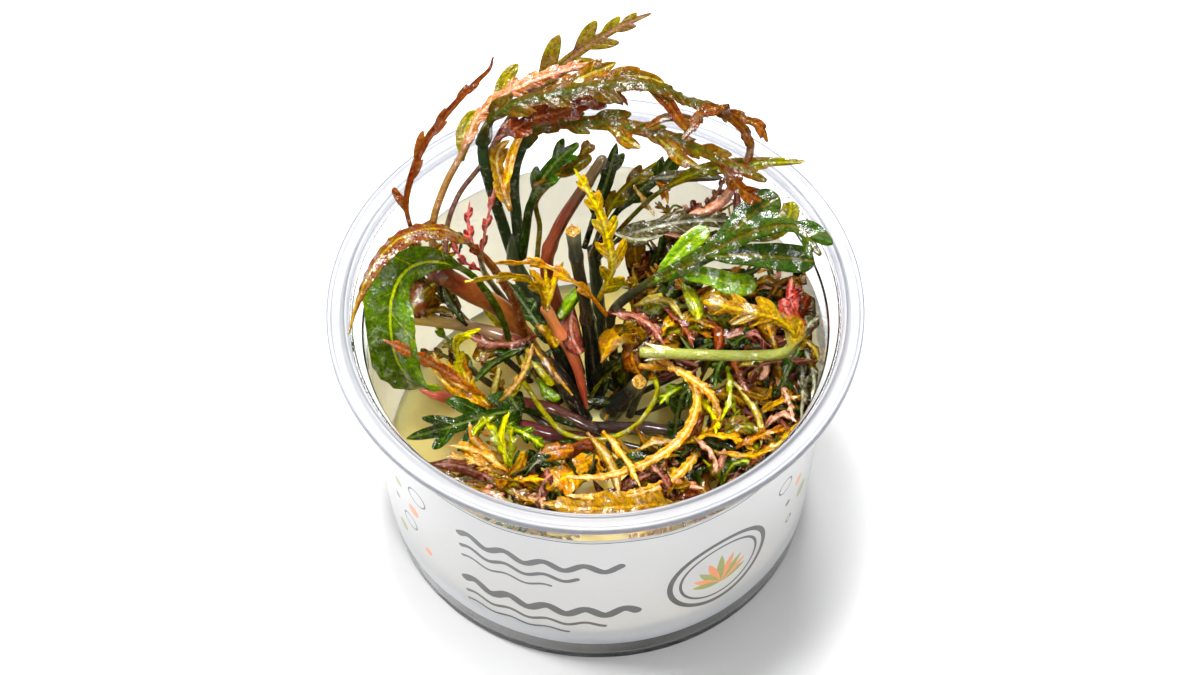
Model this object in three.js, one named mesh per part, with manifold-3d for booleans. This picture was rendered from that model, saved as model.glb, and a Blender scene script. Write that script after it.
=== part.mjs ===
// Hygrophila pinnatifida, grown from tissue culture in a clear plastic cup.
// Units are millimetres, +Z is up, and the origin is the centre of the cup's flat base.
// +X is to the viewer's right and +Y is away from the viewer.
import * as THREE from "three";
import { mergeVertices } from "three/addons/utils/BufferGeometryUtils.js";
import Module from "manifold-3d";

// Driving dimensions of the cup
const CUP_HEIGHT = 59;
const RIM_RADIUS = 50;
const RIM_INNER_RADIUS = 45.15;
const RIM_THICKNESS = 1.0;
const RIM_STEP = 1.9; // the inner edge sits this much below the rim
const BASE_RADIUS = 40;
const WALL_TAPER = 0.0773; // radius gained for each millimetre of height
const WALL_THICKNESS = 0.8;
const FLOOR_THICKNESS = 1.2;
const ROUND_SEGMENTS = 48;

// Driving dimensions of the label and the gel
const LABEL_BOTTOM = 7;
const LABEL_TOP = 46.6;
const LABEL_GAP = 0.15;
const LABEL_THICKNESS = 0.2;
const GEL_TOP = 12;
const GEL_GAP = 0.3;

// Driving dimensions of the plant
const PLANTED = GEL_TOP + 1; // height at which a stem leaves the gel
const STEM_SIDES = 6;
const STEM_STEP = 7; // length of one straight piece of a stem
const STALK_STEP = 7; // length of one straight piece of a leaf stalk
const BLADE_THICKNESS = 0.32; // half of a blade's thickness at its midrib
const TIP_HALF_WIDTH = 0.18;

const wasm = await Module();
wasm.setup();

const wallRadius = (z) => BASE_RADIUS + WALL_TAPER * z;

function meshOf(name, geometry, colour, roughness, extra = {}) {
  const material = new THREE.MeshStandardMaterial({ color: colour, roughness, metalness: 0, ...extra });
  material.name = name;
  const mesh = new THREE.Mesh(geometry, material);
  mesh.name = name;
  return mesh;
}

// A round solid from a closed outline of [radius, height] pairs, turned about +Z.
function turned(outline) {
  const profile = outline.map(([r, z]) => new THREE.Vector2(r, z));
  const geometry = new THREE.LatheGeometry(profile, ROUND_SEGMENTS);
  geometry.rotateX(Math.PI / 2);
  return outwards(geometry);
}

// Turns every face over where a closed geometry would face inwards.
function outwards(geometry) {
  const merged = onlyPositions(geometry);
  const index = merged.index.array;
  const at = merged.getAttribute("position");
  const a = new THREE.Vector3();
  const b = new THREE.Vector3();
  const c = new THREE.Vector3();
  let volume = 0;
  for (let i = 0; i < index.length; i += 3) {
    a.fromBufferAttribute(at, index[i]);
    b.fromBufferAttribute(at, index[i + 1]);
    c.fromBufferAttribute(at, index[i + 2]);
    volume += a.dot(b.cross(c));
  }
  if (volume < 0) {
    for (let i = 0; i < index.length; i += 3) {
      [index[i], index[i + 1]] = [index[i + 1], index[i]];
    }
  }
  return merged;
}

function onlyPositions(geometry) {
  const bare = geometry.clone();
  bare.deleteAttribute("normal");
  bare.deleteAttribute("uv");
  return mergeVertices(bare, 1e-3);
}

// The cup: floor, tapered wall that flares a little below the rim, stepped inner edge, flat flange.
function makeCup() {
  const flare = CUP_HEIGHT - 6;
  const step = CUP_HEIGHT - RIM_STEP;
  const outline = [
    [0, 0],
    [BASE_RADIUS - 0.8, 0],
    [BASE_RADIUS, 0.8],
    [wallRadius(flare), flare],
    [RIM_INNER_RADIUS + WALL_THICKNESS, step - RIM_THICKNESS],
    [RIM_RADIUS, CUP_HEIGHT - RIM_THICKNESS],
    [RIM_RADIUS, CUP_HEIGHT],
    [RIM_INNER_RADIUS + 1.6, CUP_HEIGHT],
    [RIM_INNER_RADIUS, step],
    [wallRadius(flare) - WALL_THICKNESS, flare],
    [wallRadius(2.2) - WALL_THICKNESS, 2.2],
    [wallRadius(0) - WALL_THICKNESS - 1, FLOOR_THICKNESS],
    [0, FLOOR_THICKNESS],
  ];
  return meshOf("cup", turned(outline), 0xe9edf0, 0.15, { transparent: true, opacity: 0.35 });
}

// The label: one band that wraps the wall.
function makeLabel() {
  const inner = (z) => wallRadius(z) + LABEL_GAP;
  const outer = (z) => inner(z) + LABEL_THICKNESS;
  const outline = [
    [inner(LABEL_BOTTOM), LABEL_BOTTOM],
    [outer(LABEL_BOTTOM), LABEL_BOTTOM],
    [outer(LABEL_TOP), LABEL_TOP],
    [inner(LABEL_TOP), LABEL_TOP],
    [inner(LABEL_BOTTOM), LABEL_BOTTOM],
  ];
  return meshOf("label", turned(outline), 0xeceef0, 0.4);
}

// The gel: a disc with a raised edge where it wets the wall.
function makeGel() {
  const bottom = FLOOR_THICKNESS + GEL_GAP;
  const reach = (z) => wallRadius(z) - WALL_THICKNESS - GEL_GAP;
  const outline = [
    [0, bottom],
    [reach(0) - 1.3, bottom],
    [reach(3), 3],
    [reach(GEL_TOP + 1), GEL_TOP + 1],
    [reach(GEL_TOP) - 2.5, GEL_TOP],
    [0, GEL_TOP],
  ];
  return meshOf("gel", turned(outline), 0xe9e2b4, 0.25);
}

const curveThrough = (points) =>
  new THREE.CatmullRomCurve3(points.map((p) => new THREE.Vector3(...p)), false, "centripetal");

// A stem: a round section carried along its route.
function stemGeometry(route, radius) {
  const curve = curveThrough(route);
  const section = new THREE.Shape();
  for (let i = 0; i < STEM_SIDES; i++) {
    const angle = (2 * Math.PI * i) / STEM_SIDES;
    const [x, y] = [radius * Math.cos(angle), radius * Math.sin(angle)];
    if (i === 0) section.moveTo(x, y);
    else section.lineTo(x, y);
  }
  section.closePath();
  const steps = Math.max(2, Math.round(curve.getLength() / STEM_STEP));
  return outwards(
    new THREE.ExtrudeGeometry(section, { steps, extrudePath: curve, bevelEnabled: false, curveSegments: 1 }),
  );
}

// Cross-sections of a leaf from its stalk to its tip. "t" is the place along the route from 0 to 1,
// "half" the half width there, "thick" the half thickness and "lean" how far the edge runs forward.
function leafSections({ length, stalk, stalkRadius, span, lobes, waist, lean }) {
  const sections = [];
  const stalkSteps = Math.max(1, Math.round((length * stalk) / STALK_STEP));
  for (let i = 0; i <= stalkSteps; i++) {
    sections.push({ t: (stalk * i) / stalkSteps, half: stalkRadius, thick: stalkRadius, lean: 0 });
  }
  const envelope = (s) => Math.pow(Math.sin(Math.PI * (0.17 + 0.78 * s)), 0.7);
  const blade = (s, half, edgeLean) =>
    sections.push({ t: stalk + (1 - stalk) * s, half, thick: BLADE_THICKNESS, lean: edgeLean * (1 - 0.5 * s) });
  if (lobes === 0) {
    for (const s of [0.08, 0.22, 0.38, 0.54, 0.7, 0.86]) blade(s, span * envelope(s), 0.15);
  } else {
    for (let k = 0; k < lobes; k++) {
      const peak = (k + 0.62) / (lobes + 0.25);
      const valley = (k + 1.0) / (lobes + 0.25);
      blade(peak, span * envelope(peak), lean);
      if (k < lobes - 1) blade(valley, Math.max(span * envelope(valley) * waist, 0.35), 0);
    }
  }
  sections.push({ t: 1, half: TIP_HALF_WIDTH, thick: TIP_HALF_WIDTH, lean: 0 });
  return sections;
}

// A leaf: a diamond section carried along its route. "face" is the way its upper side looks, from the
// stalk's end to the tip, and "fold" is how far the two halves of the blade rise from the midrib.
function leafGeometry(leaf) {
  const defaults = { stalk: 0.3, stalkRadius: 0.5, span: 2.5, lobes: 5, waist: 0.3, lean: 0.5, fold: 0.15 };
  const shape = { ...defaults, ...leaf };
  const curve = curveThrough(shape.route);
  const faces = Array.isArray(shape.face[0]) ? shape.face : [shape.face, shape.face];
  const first = new THREE.Vector3(...faces[0]);
  const last = new THREE.Vector3(...faces[1]);
  const sections = leafSections({ ...shape, length: curve.getLength() });
  const vertices = [];
  const up = new THREE.Vector3();
  const side = new THREE.Vector3();
  for (const { t, half, thick, lean } of sections) {
    const point = curve.getPointAt(t);
    const along = curve.getTangentAt(t);
    up.copy(first).lerp(last, t);
    side.crossVectors(along, up).normalize();
    up.crossVectors(side, along).normalize();
    const raise = half > shape.stalkRadius ? shape.fold * half : 0;
    for (const [across, rise] of [[-1, 0], [0, 1], [1, 0], [0, -1]]) {
      const place = point.clone();
      place.addScaledVector(side, across * half);
      if (across !== 0) place.addScaledVector(along, lean * half).addScaledVector(up, raise);
      place.addScaledVector(up, rise * thick);
      vertices.push(place.x, place.y, place.z);
    }
  }
  const index = [0, 1, 2, 0, 2, 3];
  for (let i = 0; i < sections.length - 1; i++) {
    const [l, t, r, b] = [0, 1, 2, 3].map((k) => 4 * i + k);
    const [l2, t2, r2, b2] = [4, 5, 6, 7].map((k) => 4 * i + k);
    index.push(t, l, l2, t, l2, t2, t, t2, r2, t, r2, r);
    index.push(b, l2, l, b, b2, l2, b, r2, b2, b, r, r2);
  }
  const end = 4 * (sections.length - 1);
  index.push(end, end + 2, end + 1, end, end + 3, end + 2);
  const geometry = new THREE.BufferGeometry();
  geometry.setAttribute("position", new THREE.Float32BufferAttribute(vertices, 3));
  geometry.setIndex(index);
  return outwards(geometry);
}

function solidOf(geometry) {
  const merged = onlyPositions(geometry);
  return new wasm.Manifold(
    new wasm.Mesh({
      numProp: 3,
      vertProperties: new Float32Array(merged.getAttribute("position").array),
      triVerts: new Uint32Array(merged.index.array),
    }),
  );
}

// Several closed geometries joined into one.
function joined(geometries) {
  const whole = geometries.map(solidOf).reduce((sum, next) => sum.add(next));
  const mesh = whole.getMesh();
  const geometry = new THREE.BufferGeometry();
  geometry.setAttribute("position", new THREE.Float32BufferAttribute(mesh.vertProperties, 3));
  geometry.setIndex(Array.from(mesh.triVerts));
  return geometry;
}

const stem = (name, colour, radius, route) => meshOf(name, stemGeometry(route, radius), colour, 0.35);
const leaf = (name, colour, shape) => meshOf(name, leafGeometry(shape), colour, 0.4);

// A small side plantlet: a short stem and the leaves that grew from it, as one solid. "from" is the place
// along the stem, from 0 to 1, where a leaf starts.
function shoot(name, colour, radius, route, leaves) {
  const small = { stalk: 0.15, stalkRadius: 0.3, lobes: 2, span: 1.6, fold: 0.1 };
  const curve = curveThrough(route);
  const pieces = leaves.map(({ from, route: onward, ...shape }) =>
    leafGeometry({ ...small, ...shape, route: [curve.getPointAt(from).toArray(), ...onward] }),
  );
  return meshOf(name, joined([stemGeometry(route, radius), ...pieces]), colour, 0.4);
}

const TO_VIEWER = [0, -0.6, 0.8];
const UP = [0, 0, 1];
const FRONT = [0, -1, 0.1];

// The stems that stand in the gel
function makeStems() {
  const group = new THREE.Group();
  group.add(
    stem("stem_tall", 0x23281a, 1.45, [[-4.5, 15, PLANTED], [-8, 18, 24], [-12.5, 22, 34], [-15.5, 24.5, 41], [-15.7, 26, 46.5]]),
    stem("stem_left", 0x6b2f18, 1.9, [[-8.6, 13, PLANTED], [-12.6, 17, 22], [-17.6, 18.8, 32.5], [-24, 16.8, 42], [-30.3, 14.9, 51.5]]),
    stem("stem_centre", 0x1d211a, 1.4, [[0, 12, PLANTED], [-0.8, 14.8, 25], [-2, 16.5, 38], [-3.4, 18.1, 49], [-4, 19.1, 57]]),
    stem("stem_salmon", 0xd0603a, 0.95, [[-2.2, 8.8, 16], [-4, 11, 26], [-6.9, 13.6, 32], [-9.4, 15.2, 38]]),
    stem("stem_tan", 0x8a6a4c, 1.15, [[-4, 9, 14.5], [-8, 11.6, 23], [-13.6, 14, 27.6], [-18, 15, 30], [-24, 15.6, 32], [-35.3, 15, 36]]),
    stem("stem_red", 0x8c3a24, 1.35, [[-5, 6, 14.6], [-9.5, 7.6, 16], [-18.7, 7, 19], [-26.3, 6, 21], [-31.3, 6.4, 23]]),
    stem("stem_maroon", 0x4a1c1a, 1.35, [[-4.2, 1.8, 14], [-9, 1.4, 16], [-14.8, 2.2, 18], [-17.5, 2.2, 19.5]]),
    stem("stem_front", 0x24281f, 1.15, [[-1, -0.8, 14], [-8.1, -3.2, 16], [-14.5, -6, 18.5]]),
    stem("stem_brown_back", 0x7c3418, 1.2, [[-3.5, 19, PLANTED], [-7.5, 21, 32], [-9.2, 23.2, 42], [-6.5, 25.4, 51], [-1.5, 28, 60], [1.6, 30, 65]]),
    stem("stem_dark_back", 0x23281c, 1.2, [[0.8, 16.6, PLANTED], [0.8, 21, 24], [0.2, 26, 34], [-0.2, 28.2, 39.5]]),
    stem("stem_cut_right", 0x20241c, 1.35, [[3.4, 8.2, 14.2], [6, 7, 21], [8.2, 4.6, 28.5]]),
    stem("stem_leafy_right", 0x2c3018, 0.8, [[6.6, 8.4, PLANTED], [8.6, 8.2, 22], [10.2, 6.8, 30.6]]),
    stem("stem_low_right", 0x3a2a22, 1.1, [[3.2, 4.2, 14], [10.2, 1.8, 17], [20.6, -2.7, 20]]),
  );
  return group;
}

// The two leaves that fork from the tall stem and arch over the back
function makeArchLeaves() {
  const group = new THREE.Group();
  group.add(
    leaf("leaf_arch_back", 0x6d4a26, {
      route: [[-17.4, 27.6, 48.3], [-19.3, 28.6, 58], [-20.6, 29.6, 66], [-20.5, 31.4, 70], [-18, 32.4, 76], [-13.5, 33, 79],
        [-6, 33.4, 81], [3.3, 34.6, 82], [10.7, 34.4, 82], [18.2, 33.2, 78.5], [24.2, 32.8, 76], [27.6, 31.8, 72.4],
        [29.2, 30.6, 69], [28.8, 28.8, 66.8]],
      face: [[0, 0.2, 1], [1, -0.2, 0.4]], stalk: 0.36, stalkRadius: 0.75, span: 3.4, lobes: 7, lean: 0.8, fold: -0.2,
    }),
    leaf("leaf_arch_front", 0x6b6a1e, {
      route: [[-14.7, 27.9, 48.3], [-15.2, 30.4, 57], [-14.4, 32, 63], [-12, 33, 68.6], [-8.4, 33, 72], [-2.4, 32.4, 73.4],
        [5.1, 31.4, 73.8], [12.6, 30.2, 72.4], [20, 28.2, 70], [26.6, 26.2, 67.2], [32.4, 24.5, 65]],
      face: [[0, -0.3, 1], [0.2, -0.6, 1]], stalk: 0.36, stalkRadius: 0.95, span: 3.6, lobes: 6, lean: 0.8, fold: -0.15,
    }),
    leaf("leaf_dark_fork", 0x3c451c, {
      route: [[-13, 26.4, 48.2], [-12.2, 27.4, 54], [-9, 29.4, 61.6], [-5.6, 30.4, 66], [-2.8, 30.4, 69.4]],
      face: TO_VIEWER, stalk: 0.45, stalkRadius: 0.6, span: 2.6, lobes: 2, lean: 1.0,
    }),
  );
  return group;
}

// The leaves on the thick brown-red stem at the left
function makeLeftLeaves() {
  const group = new THREE.Group();
  group.add(
    leaf("leaf_maroon_spire", 0x6a3222, {
      route: [[-32.6, 16.9, 53.4], [-34.2, 18.8, 58], [-35.2, 22.2, 62], [-34, 25.5, 67], [-31.6, 28.6, 72], [-27.1, 31.4, 78],
        [-21.8, 34.4, 83], [-18.9, 35.5, 86], [-18.3, 36.5, 88]],
      face: [-0.5, -0.8, 0.4], stalk: 0.12, stalkRadius: 0.5, span: 1.7, lobes: 5, waist: 0.35, lean: 1.4, fold: 0.1,
    }),
    leaf("leaf_pink_arch", 0x8a6a22, {
      route: [[-30.6, 18.2, 53.6], [-30.3, 20.6, 59], [-27.7, 25.8, 64], [-24.4, 30.2, 68], [-21.6, 35.4, 71.5], [-16, 38, 75.4],
        [-8.8, 39.6, 78.4], [-0.4, 41, 80.4]],
      face: [-0.5, -0.6, 0.5], stalk: 0.25, stalkRadius: 0.5, span: 3.6, lobes: 5, waist: 0.28, lean: 1.3, fold: 0.1,
    }),
    leaf("leaf_back_spire", 0x6f5642, {
      route: [[-28.2, 17.1, 53.4], [-27.6, 21.5, 57], [-25.4, 26.2, 60], [-21.4, 31.2, 62], [-16.6, 37.6, 65.5], [-11.4, 41.4, 71.5],
        [-5.6, 42.6, 78], [0.1, 43.8, 83], [6.2, 44.4, 87.5], [11.1, 44, 91]],
      face: TO_VIEWER, stalk: 0.3, stalkRadius: 0.5, span: 4, lobes: 6, waist: 0.26, lean: 1.3, fold: 0.06,
    }),
    leaf("leaf_green_left", 0x3f6a17, {
      route: [[-16.8, 13.4, 31.4], [-17.6, 13, 37], [-20, 12.4, 46], [-23.6, 12, 54], [-28, 11.4, 58.4], [-32.6, 10.2, 60], [-35.8, 7.6, 60],
        [-37.8, 4, 57.5], [-38.2, 0.8, 53], [-37.4, -1.3, 46], [-34.6, -3.4, 41], [-30, -2.6, 38]],
      face: [[-0.2, -0.2, 1], [-0.3, -0.8, -0.3]], stalk: 0.4, stalkRadius: 0.6, span: 4.1, lobes: 0, fold: 0.12,
    }),
    leaf("leaf_brown_left", 0x6e4224, {
      route: [[-13.4, 14.4, 29.6], [-14.4, 14.6, 37], [-17, 14.6, 46], [-20.6, 14.4, 55.4], [-25.2, 14.8, 61.8], [-30, 14.2, 65],
        [-35.8, 11.2, 66.4], [-40.4, 6.2, 65.6], [-43.6, -0.5, 63.6], [-45.6, -7.3, 61.6]],
      face: [[0.2, 0.1, 1], [-0.5, 0.3, 1]], stalk: 0.45, stalkRadius: 0.5, span: 3, lobes: 0, fold: -0.25,
    }),
  );
  return group;
}

// The thin leaves that hang over the left half
function makeLeftFrontLeaves() {
  const group = new THREE.Group();
  group.add(
    leaf("leaf_salmon_left", 0xe0b030, {
      route: [[-9.8, 14.8, 39.8], [-10.7, 14.4, 45.6], [-14.2, 12.4, 52.4], [-19.2, 9.6, 56], [-24.2, 7, 58]],
      face: FRONT, stalk: 0.2, stalkRadius: 0.4, span: 1.8, lobes: 4, lean: 1.2,
    }),
    leaf("leaf_orange_over", 0xe29a2a, {
      route: [[1.1, 13.6, 40], [-1.3, 13.7, 45], [-5.1, 14.4, 49], [-9.8, 16.3, 50.8], [-15.1, 16.4, 51.4], [-19.4, 17, 50.4]],
      face: FRONT, stalk: 0.2, stalkRadius: 0.4, span: 1.5, lobes: 4, lean: 1.2,
    }),
    leaf("leaf_golden", 0xc9a21f, {
      route: [[1.3, 16.6, 41.4], [3.2, 17.4, 48], [2.7, 19, 53], [1.5, 21.6, 58], [-0.5, 23.8, 62], [-3.6, 27.2, 66]],
      face: [0.2, -0.9, 0.4], stalk: 0.08, stalkRadius: 0.45, span: 3, lobes: 5, lean: 0.9, fold: 0.1,
    }),
    leaf("leaf_yellow_hook", 0xd6cf2e, {
      route: [[-13.4, 12.7, 28.6], [-13, 10.2, 30.6], [-14.1, 7.7, 27.4], [-16.3, 5.4, 23.4], [-19.9, 4.2, 23.4], [-24.2, 5.4, 27.6],
        [-26.5, 7.6, 33], [-25.8, 8.7, 38], [-21.9, 8.5, 41]],
      face: [[1, 0, 1], [0.3, -0.5, 0.6]], stalk: 0.6, stalkRadius: 0.5, span: 1.6, lobes: 2, lean: 1.2,
    }),
    leaf("leaf_pink_left", 0xdd7a4c, {
      route: [[-20.5, 4.8, 22.4], [-23, 3.8, 27.4], [-29.4, 2, 37.4], [-34.8, -3, 49.8], [-39.2, -6, 57.8]],
      face: TO_VIEWER, stalk: 0.2, stalkRadius: 0.45, span: 1.9, lobes: 4, lean: 1.2,
    }),
    leaf("leaf_green_low", 0x39541f, {
      route: [[-6.4, 4, 16.6], [-10.5, 4.6, 18.4], [-14.8, 3.4, 21.4], [-22.3, -0.6, 24.6], [-29.9, -5, 27], [-36, -8.6, 29.6]],
      face: [0, -0.4, 1], stalk: 0.3, stalkRadius: 0.55, span: 4.6, lobes: 3, waist: 0.4, lean: 0.9, fold: 0.1,
    }),
    leaf("leaf_green_cut", 0x4c6a33, {
      route: [[-8.4, 14.8, 27.2], [-11, 16.4, 31.6], [-14.2, 18.2, 37.4], [-16.9, 18.8, 42.6]],
      face: FRONT, stalk: 0.1, stalkRadius: 0.5, span: 2.2, lobes: 2, lean: 0.8,
    }),
    leaf("leaf_yellow_low", 0xcfc83a, {
      route: [[-15.4, 19.6, 17], [-18, 22, 26], [-23, 22.6, 34.6]],
      face: [0.3, -0.8, 0.5], stalk: 0.1, stalkRadius: 0.4, span: 2.1, lobes: 0,
    }),
    leaf("leaf_lime_loop", 0xc8c94a, {
      route: [[-13.2, 4.6, 27], [-9.9, 0.6, 24], [-6.2, -2.6, 22], [0.5, -4.2, 22], [6.7, -3, 24], [10.6, 0.4, 27], [11.6, 2.6, 28.8],
        [11, 4.4, 30.2]],
      face: [0, -0.4, 1], stalk: 0.94, stalkRadius: 0.5, span: 0.6, lobes: 0,
    }),
  );
  return group;
}

// The leaves behind the middle
function makeBackLeaves() {
  const group = new THREE.Group();
  group.add(
    leaf("leaf_olive_curl", 0x6a5a1c, {
      route: [[-10.8, 24.6, 45], [-10.4, 26.8, 49], [-11, 28.6, 54], [-8, 29.4, 59], [-4, 30.4, 63], [-0.5, 32.4, 67]],
      face: TO_VIEWER, stalk: 0.9, stalkRadius: 0.5, span: 1.4, lobes: 0,
    }),
    leaf("leaf_dark_mid", 0x2f3a18, {
      route: [[-1.4, 29.6, 41], [0.4, 31, 48], [2.8, 34, 55], [4.4, 37, 61]],
      face: TO_VIEWER, stalk: 0.3, stalkRadius: 0.6, span: 2.6, lobes: 2, waist: 0.5, lean: 1.1,
    }),
    leaf("leaf_dark_right", 0x35401d, {
      route: [[1.2, 29.4, 40.6], [4.4, 32.2, 46], [9.6, 33.6, 52], [14, 35, 56], [16.2, 36.8, 60]],
      face: TO_VIEWER, stalk: 0.3, stalkRadius: 0.6, span: 2.6, lobes: 2, waist: 0.5, lean: 1.1,
    }),
    leaf("leaf_olive_mid", 0x8a7a22, {
      route: [[-0.4, 26.6, 41.4], [1.4, 27.4, 48], [4.6, 29.4, 54.6], [8.6, 31, 58.6], [12, 32.4, 61]],
      face: TO_VIEWER, stalk: 0.4, stalkRadius: 0.45, span: 2.2, lobes: 2, lean: 1.2,
    }),
    leaf("leaf_right_tip", 0x5f641e, {
      route: [[2.6, 28.6, 41], [7.6, 28.8, 49.6], [12.4, 29.4, 55.6], [20.1, 30.4, 60.4], [29.5, 30, 63.4], [39.6, 27.4, 67]],
      face: [-0.2, -0.6, 1], stalk: 0.4, stalkRadius: 0.45, span: 2.4, lobes: 2, waist: 0.6, lean: 1.4,
    }),
    leaf("leaf_grey_narrow", 0x6a6a52, {
      route: [[1.6, 26.4, 40.4], [4.8, 26.4, 45], [11, 26.6, 48.2], [20.1, 26.6, 50.4], [28, 24.8, 52.2]],
      face: [0, -0.7, 1], stalk: 0.2, stalkRadius: 0.45, span: 2.4, lobes: 3, waist: 0.6, lean: 1.2,
    }),
    leaf("leaf_big_right", 0x3d5a1e, {
      route: [[4.2, 14.4, PLANTED], [3.2, 14.8, 26], [3.4, 14.8, 37.6], [8.5, 15, 44.4], [16.1, 15.2, 50.4], [23.6, 15.8, 56], [31, 15.8, 61.2],
        [37.4, 14.2, 64.2], [42, 8.4, 63]],
      face: [[-0.3, -0.7, 0.8], [-0.1, -0.5, 1]], stalk: 0.44, stalkRadius: 1, span: 8.6, lobes: 3, waist: 0.42, lean: 0.8, fold: 0.12,
    }),
    leaf("leaf_yellow_right", 0xc9b02a, {
      route: [[10.6, 4.6, 38], [19.7, 2.8, 39.6], [30.4, 0.4, 42.4], [35.8, -1, 45.6], [37.2, -0.4, 49.6], [34.6, 1, 52.6], [28.4, 2, 54.4],
        [20.3, 4, 54.8]],
      face: [[0, -0.7, 0.8], [0, -0.6, 0.8]], stalk: 0.58, stalkRadius: 1.05, span: 3.3, lobes: 3, waist: 0.6, lean: 0.9, fold: -0.15,
    }),
  );
  return group;
}

// The narrow fuzzy leaves that hang over the front
function makeFrontLeaves() {
  const group = new THREE.Group();
  group.add(
    leaf("leaf_fuzzy_long", 0xe0a02c, {
      route: [[10.3, 5.4, 32.2], [15.9, 3.4, 33.6], [19, -1.9, 33], [16.8, -7.6, 29], [10.3, -12.1, 26.4], [1.4, -15.1, 25.6],
        [-6.2, -15.2, 25.6]],
      face: [0, -0.5, 1], stalk: 0.1, stalkRadius: 0.55, span: 1.2, lobes: 7, waist: 0.7, lean: 0.8, fold: 0,
    }),
    leaf("leaf_fuzzy_short", 0xe2a860, {
      route: [[12.2, 5, 34.8], [17.7, 0.4, 35.6], [21.6, -2.8, 34.4], [23.1, -4.8, 31.4], [23.5, -6.6, 29]],
      face: [0.4, -0.5, 1], stalk: 0.15, stalkRadius: 0.45, span: 1.3, lobes: 5, waist: 0.6, lean: 0.8, fold: 0,
    }),
    leaf("leaf_fuzzy_front", 0xdc9426, {
      route: [[20.4, -4.4, 20.8], [19.4, -7, 22.4], [17.2, -11.6, 24], [12.5, -16, 23.8], [4.2, -18.2, 23], [-6.1, -17.4, 22.6]],
      face: [0, -0.5, 1], stalk: 0.1, stalkRadius: 0.5, span: 1.3, lobes: 7, waist: 0.7, lean: 0.8, fold: 0,
    }),
    leaf("leaf_orange_broad", 0xc77d25, {
      route: [[1.2, 1.6, PLANTED + 0.8], [0.6, -4.6, 18], [-2, -8.6, 20.6], [-5.6, -12, 21.6], [-9.8, -15.4, 22]],
      face: [-0.2, -0.5, 1], stalk: 0.35, stalkRadius: 0.5, span: 3.6, lobes: 2, waist: 0.7, lean: 0.6, fold: -0.2,
    }),
    leaf("leaf_gold_front", 0xa9741c, {
      route: [[4.8, 0.4, PLANTED + 0.6], [11, -10, 16], [15, -19.6, 22.6], [10.5, -24.4, 29.4], [4.5, -26.6, 32], [-3.5, -27.4, 33],
        [-10.5, -25.6, 32.4]],
      face: [[0, -0.3, 1], [0, -0.5, 1]], stalk: 0.5, stalkRadius: 0.5, span: 3, lobes: 3, waist: 0.6, lean: 1.0, fold: -0.1,
    }),
  );
  return group;
}

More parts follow.
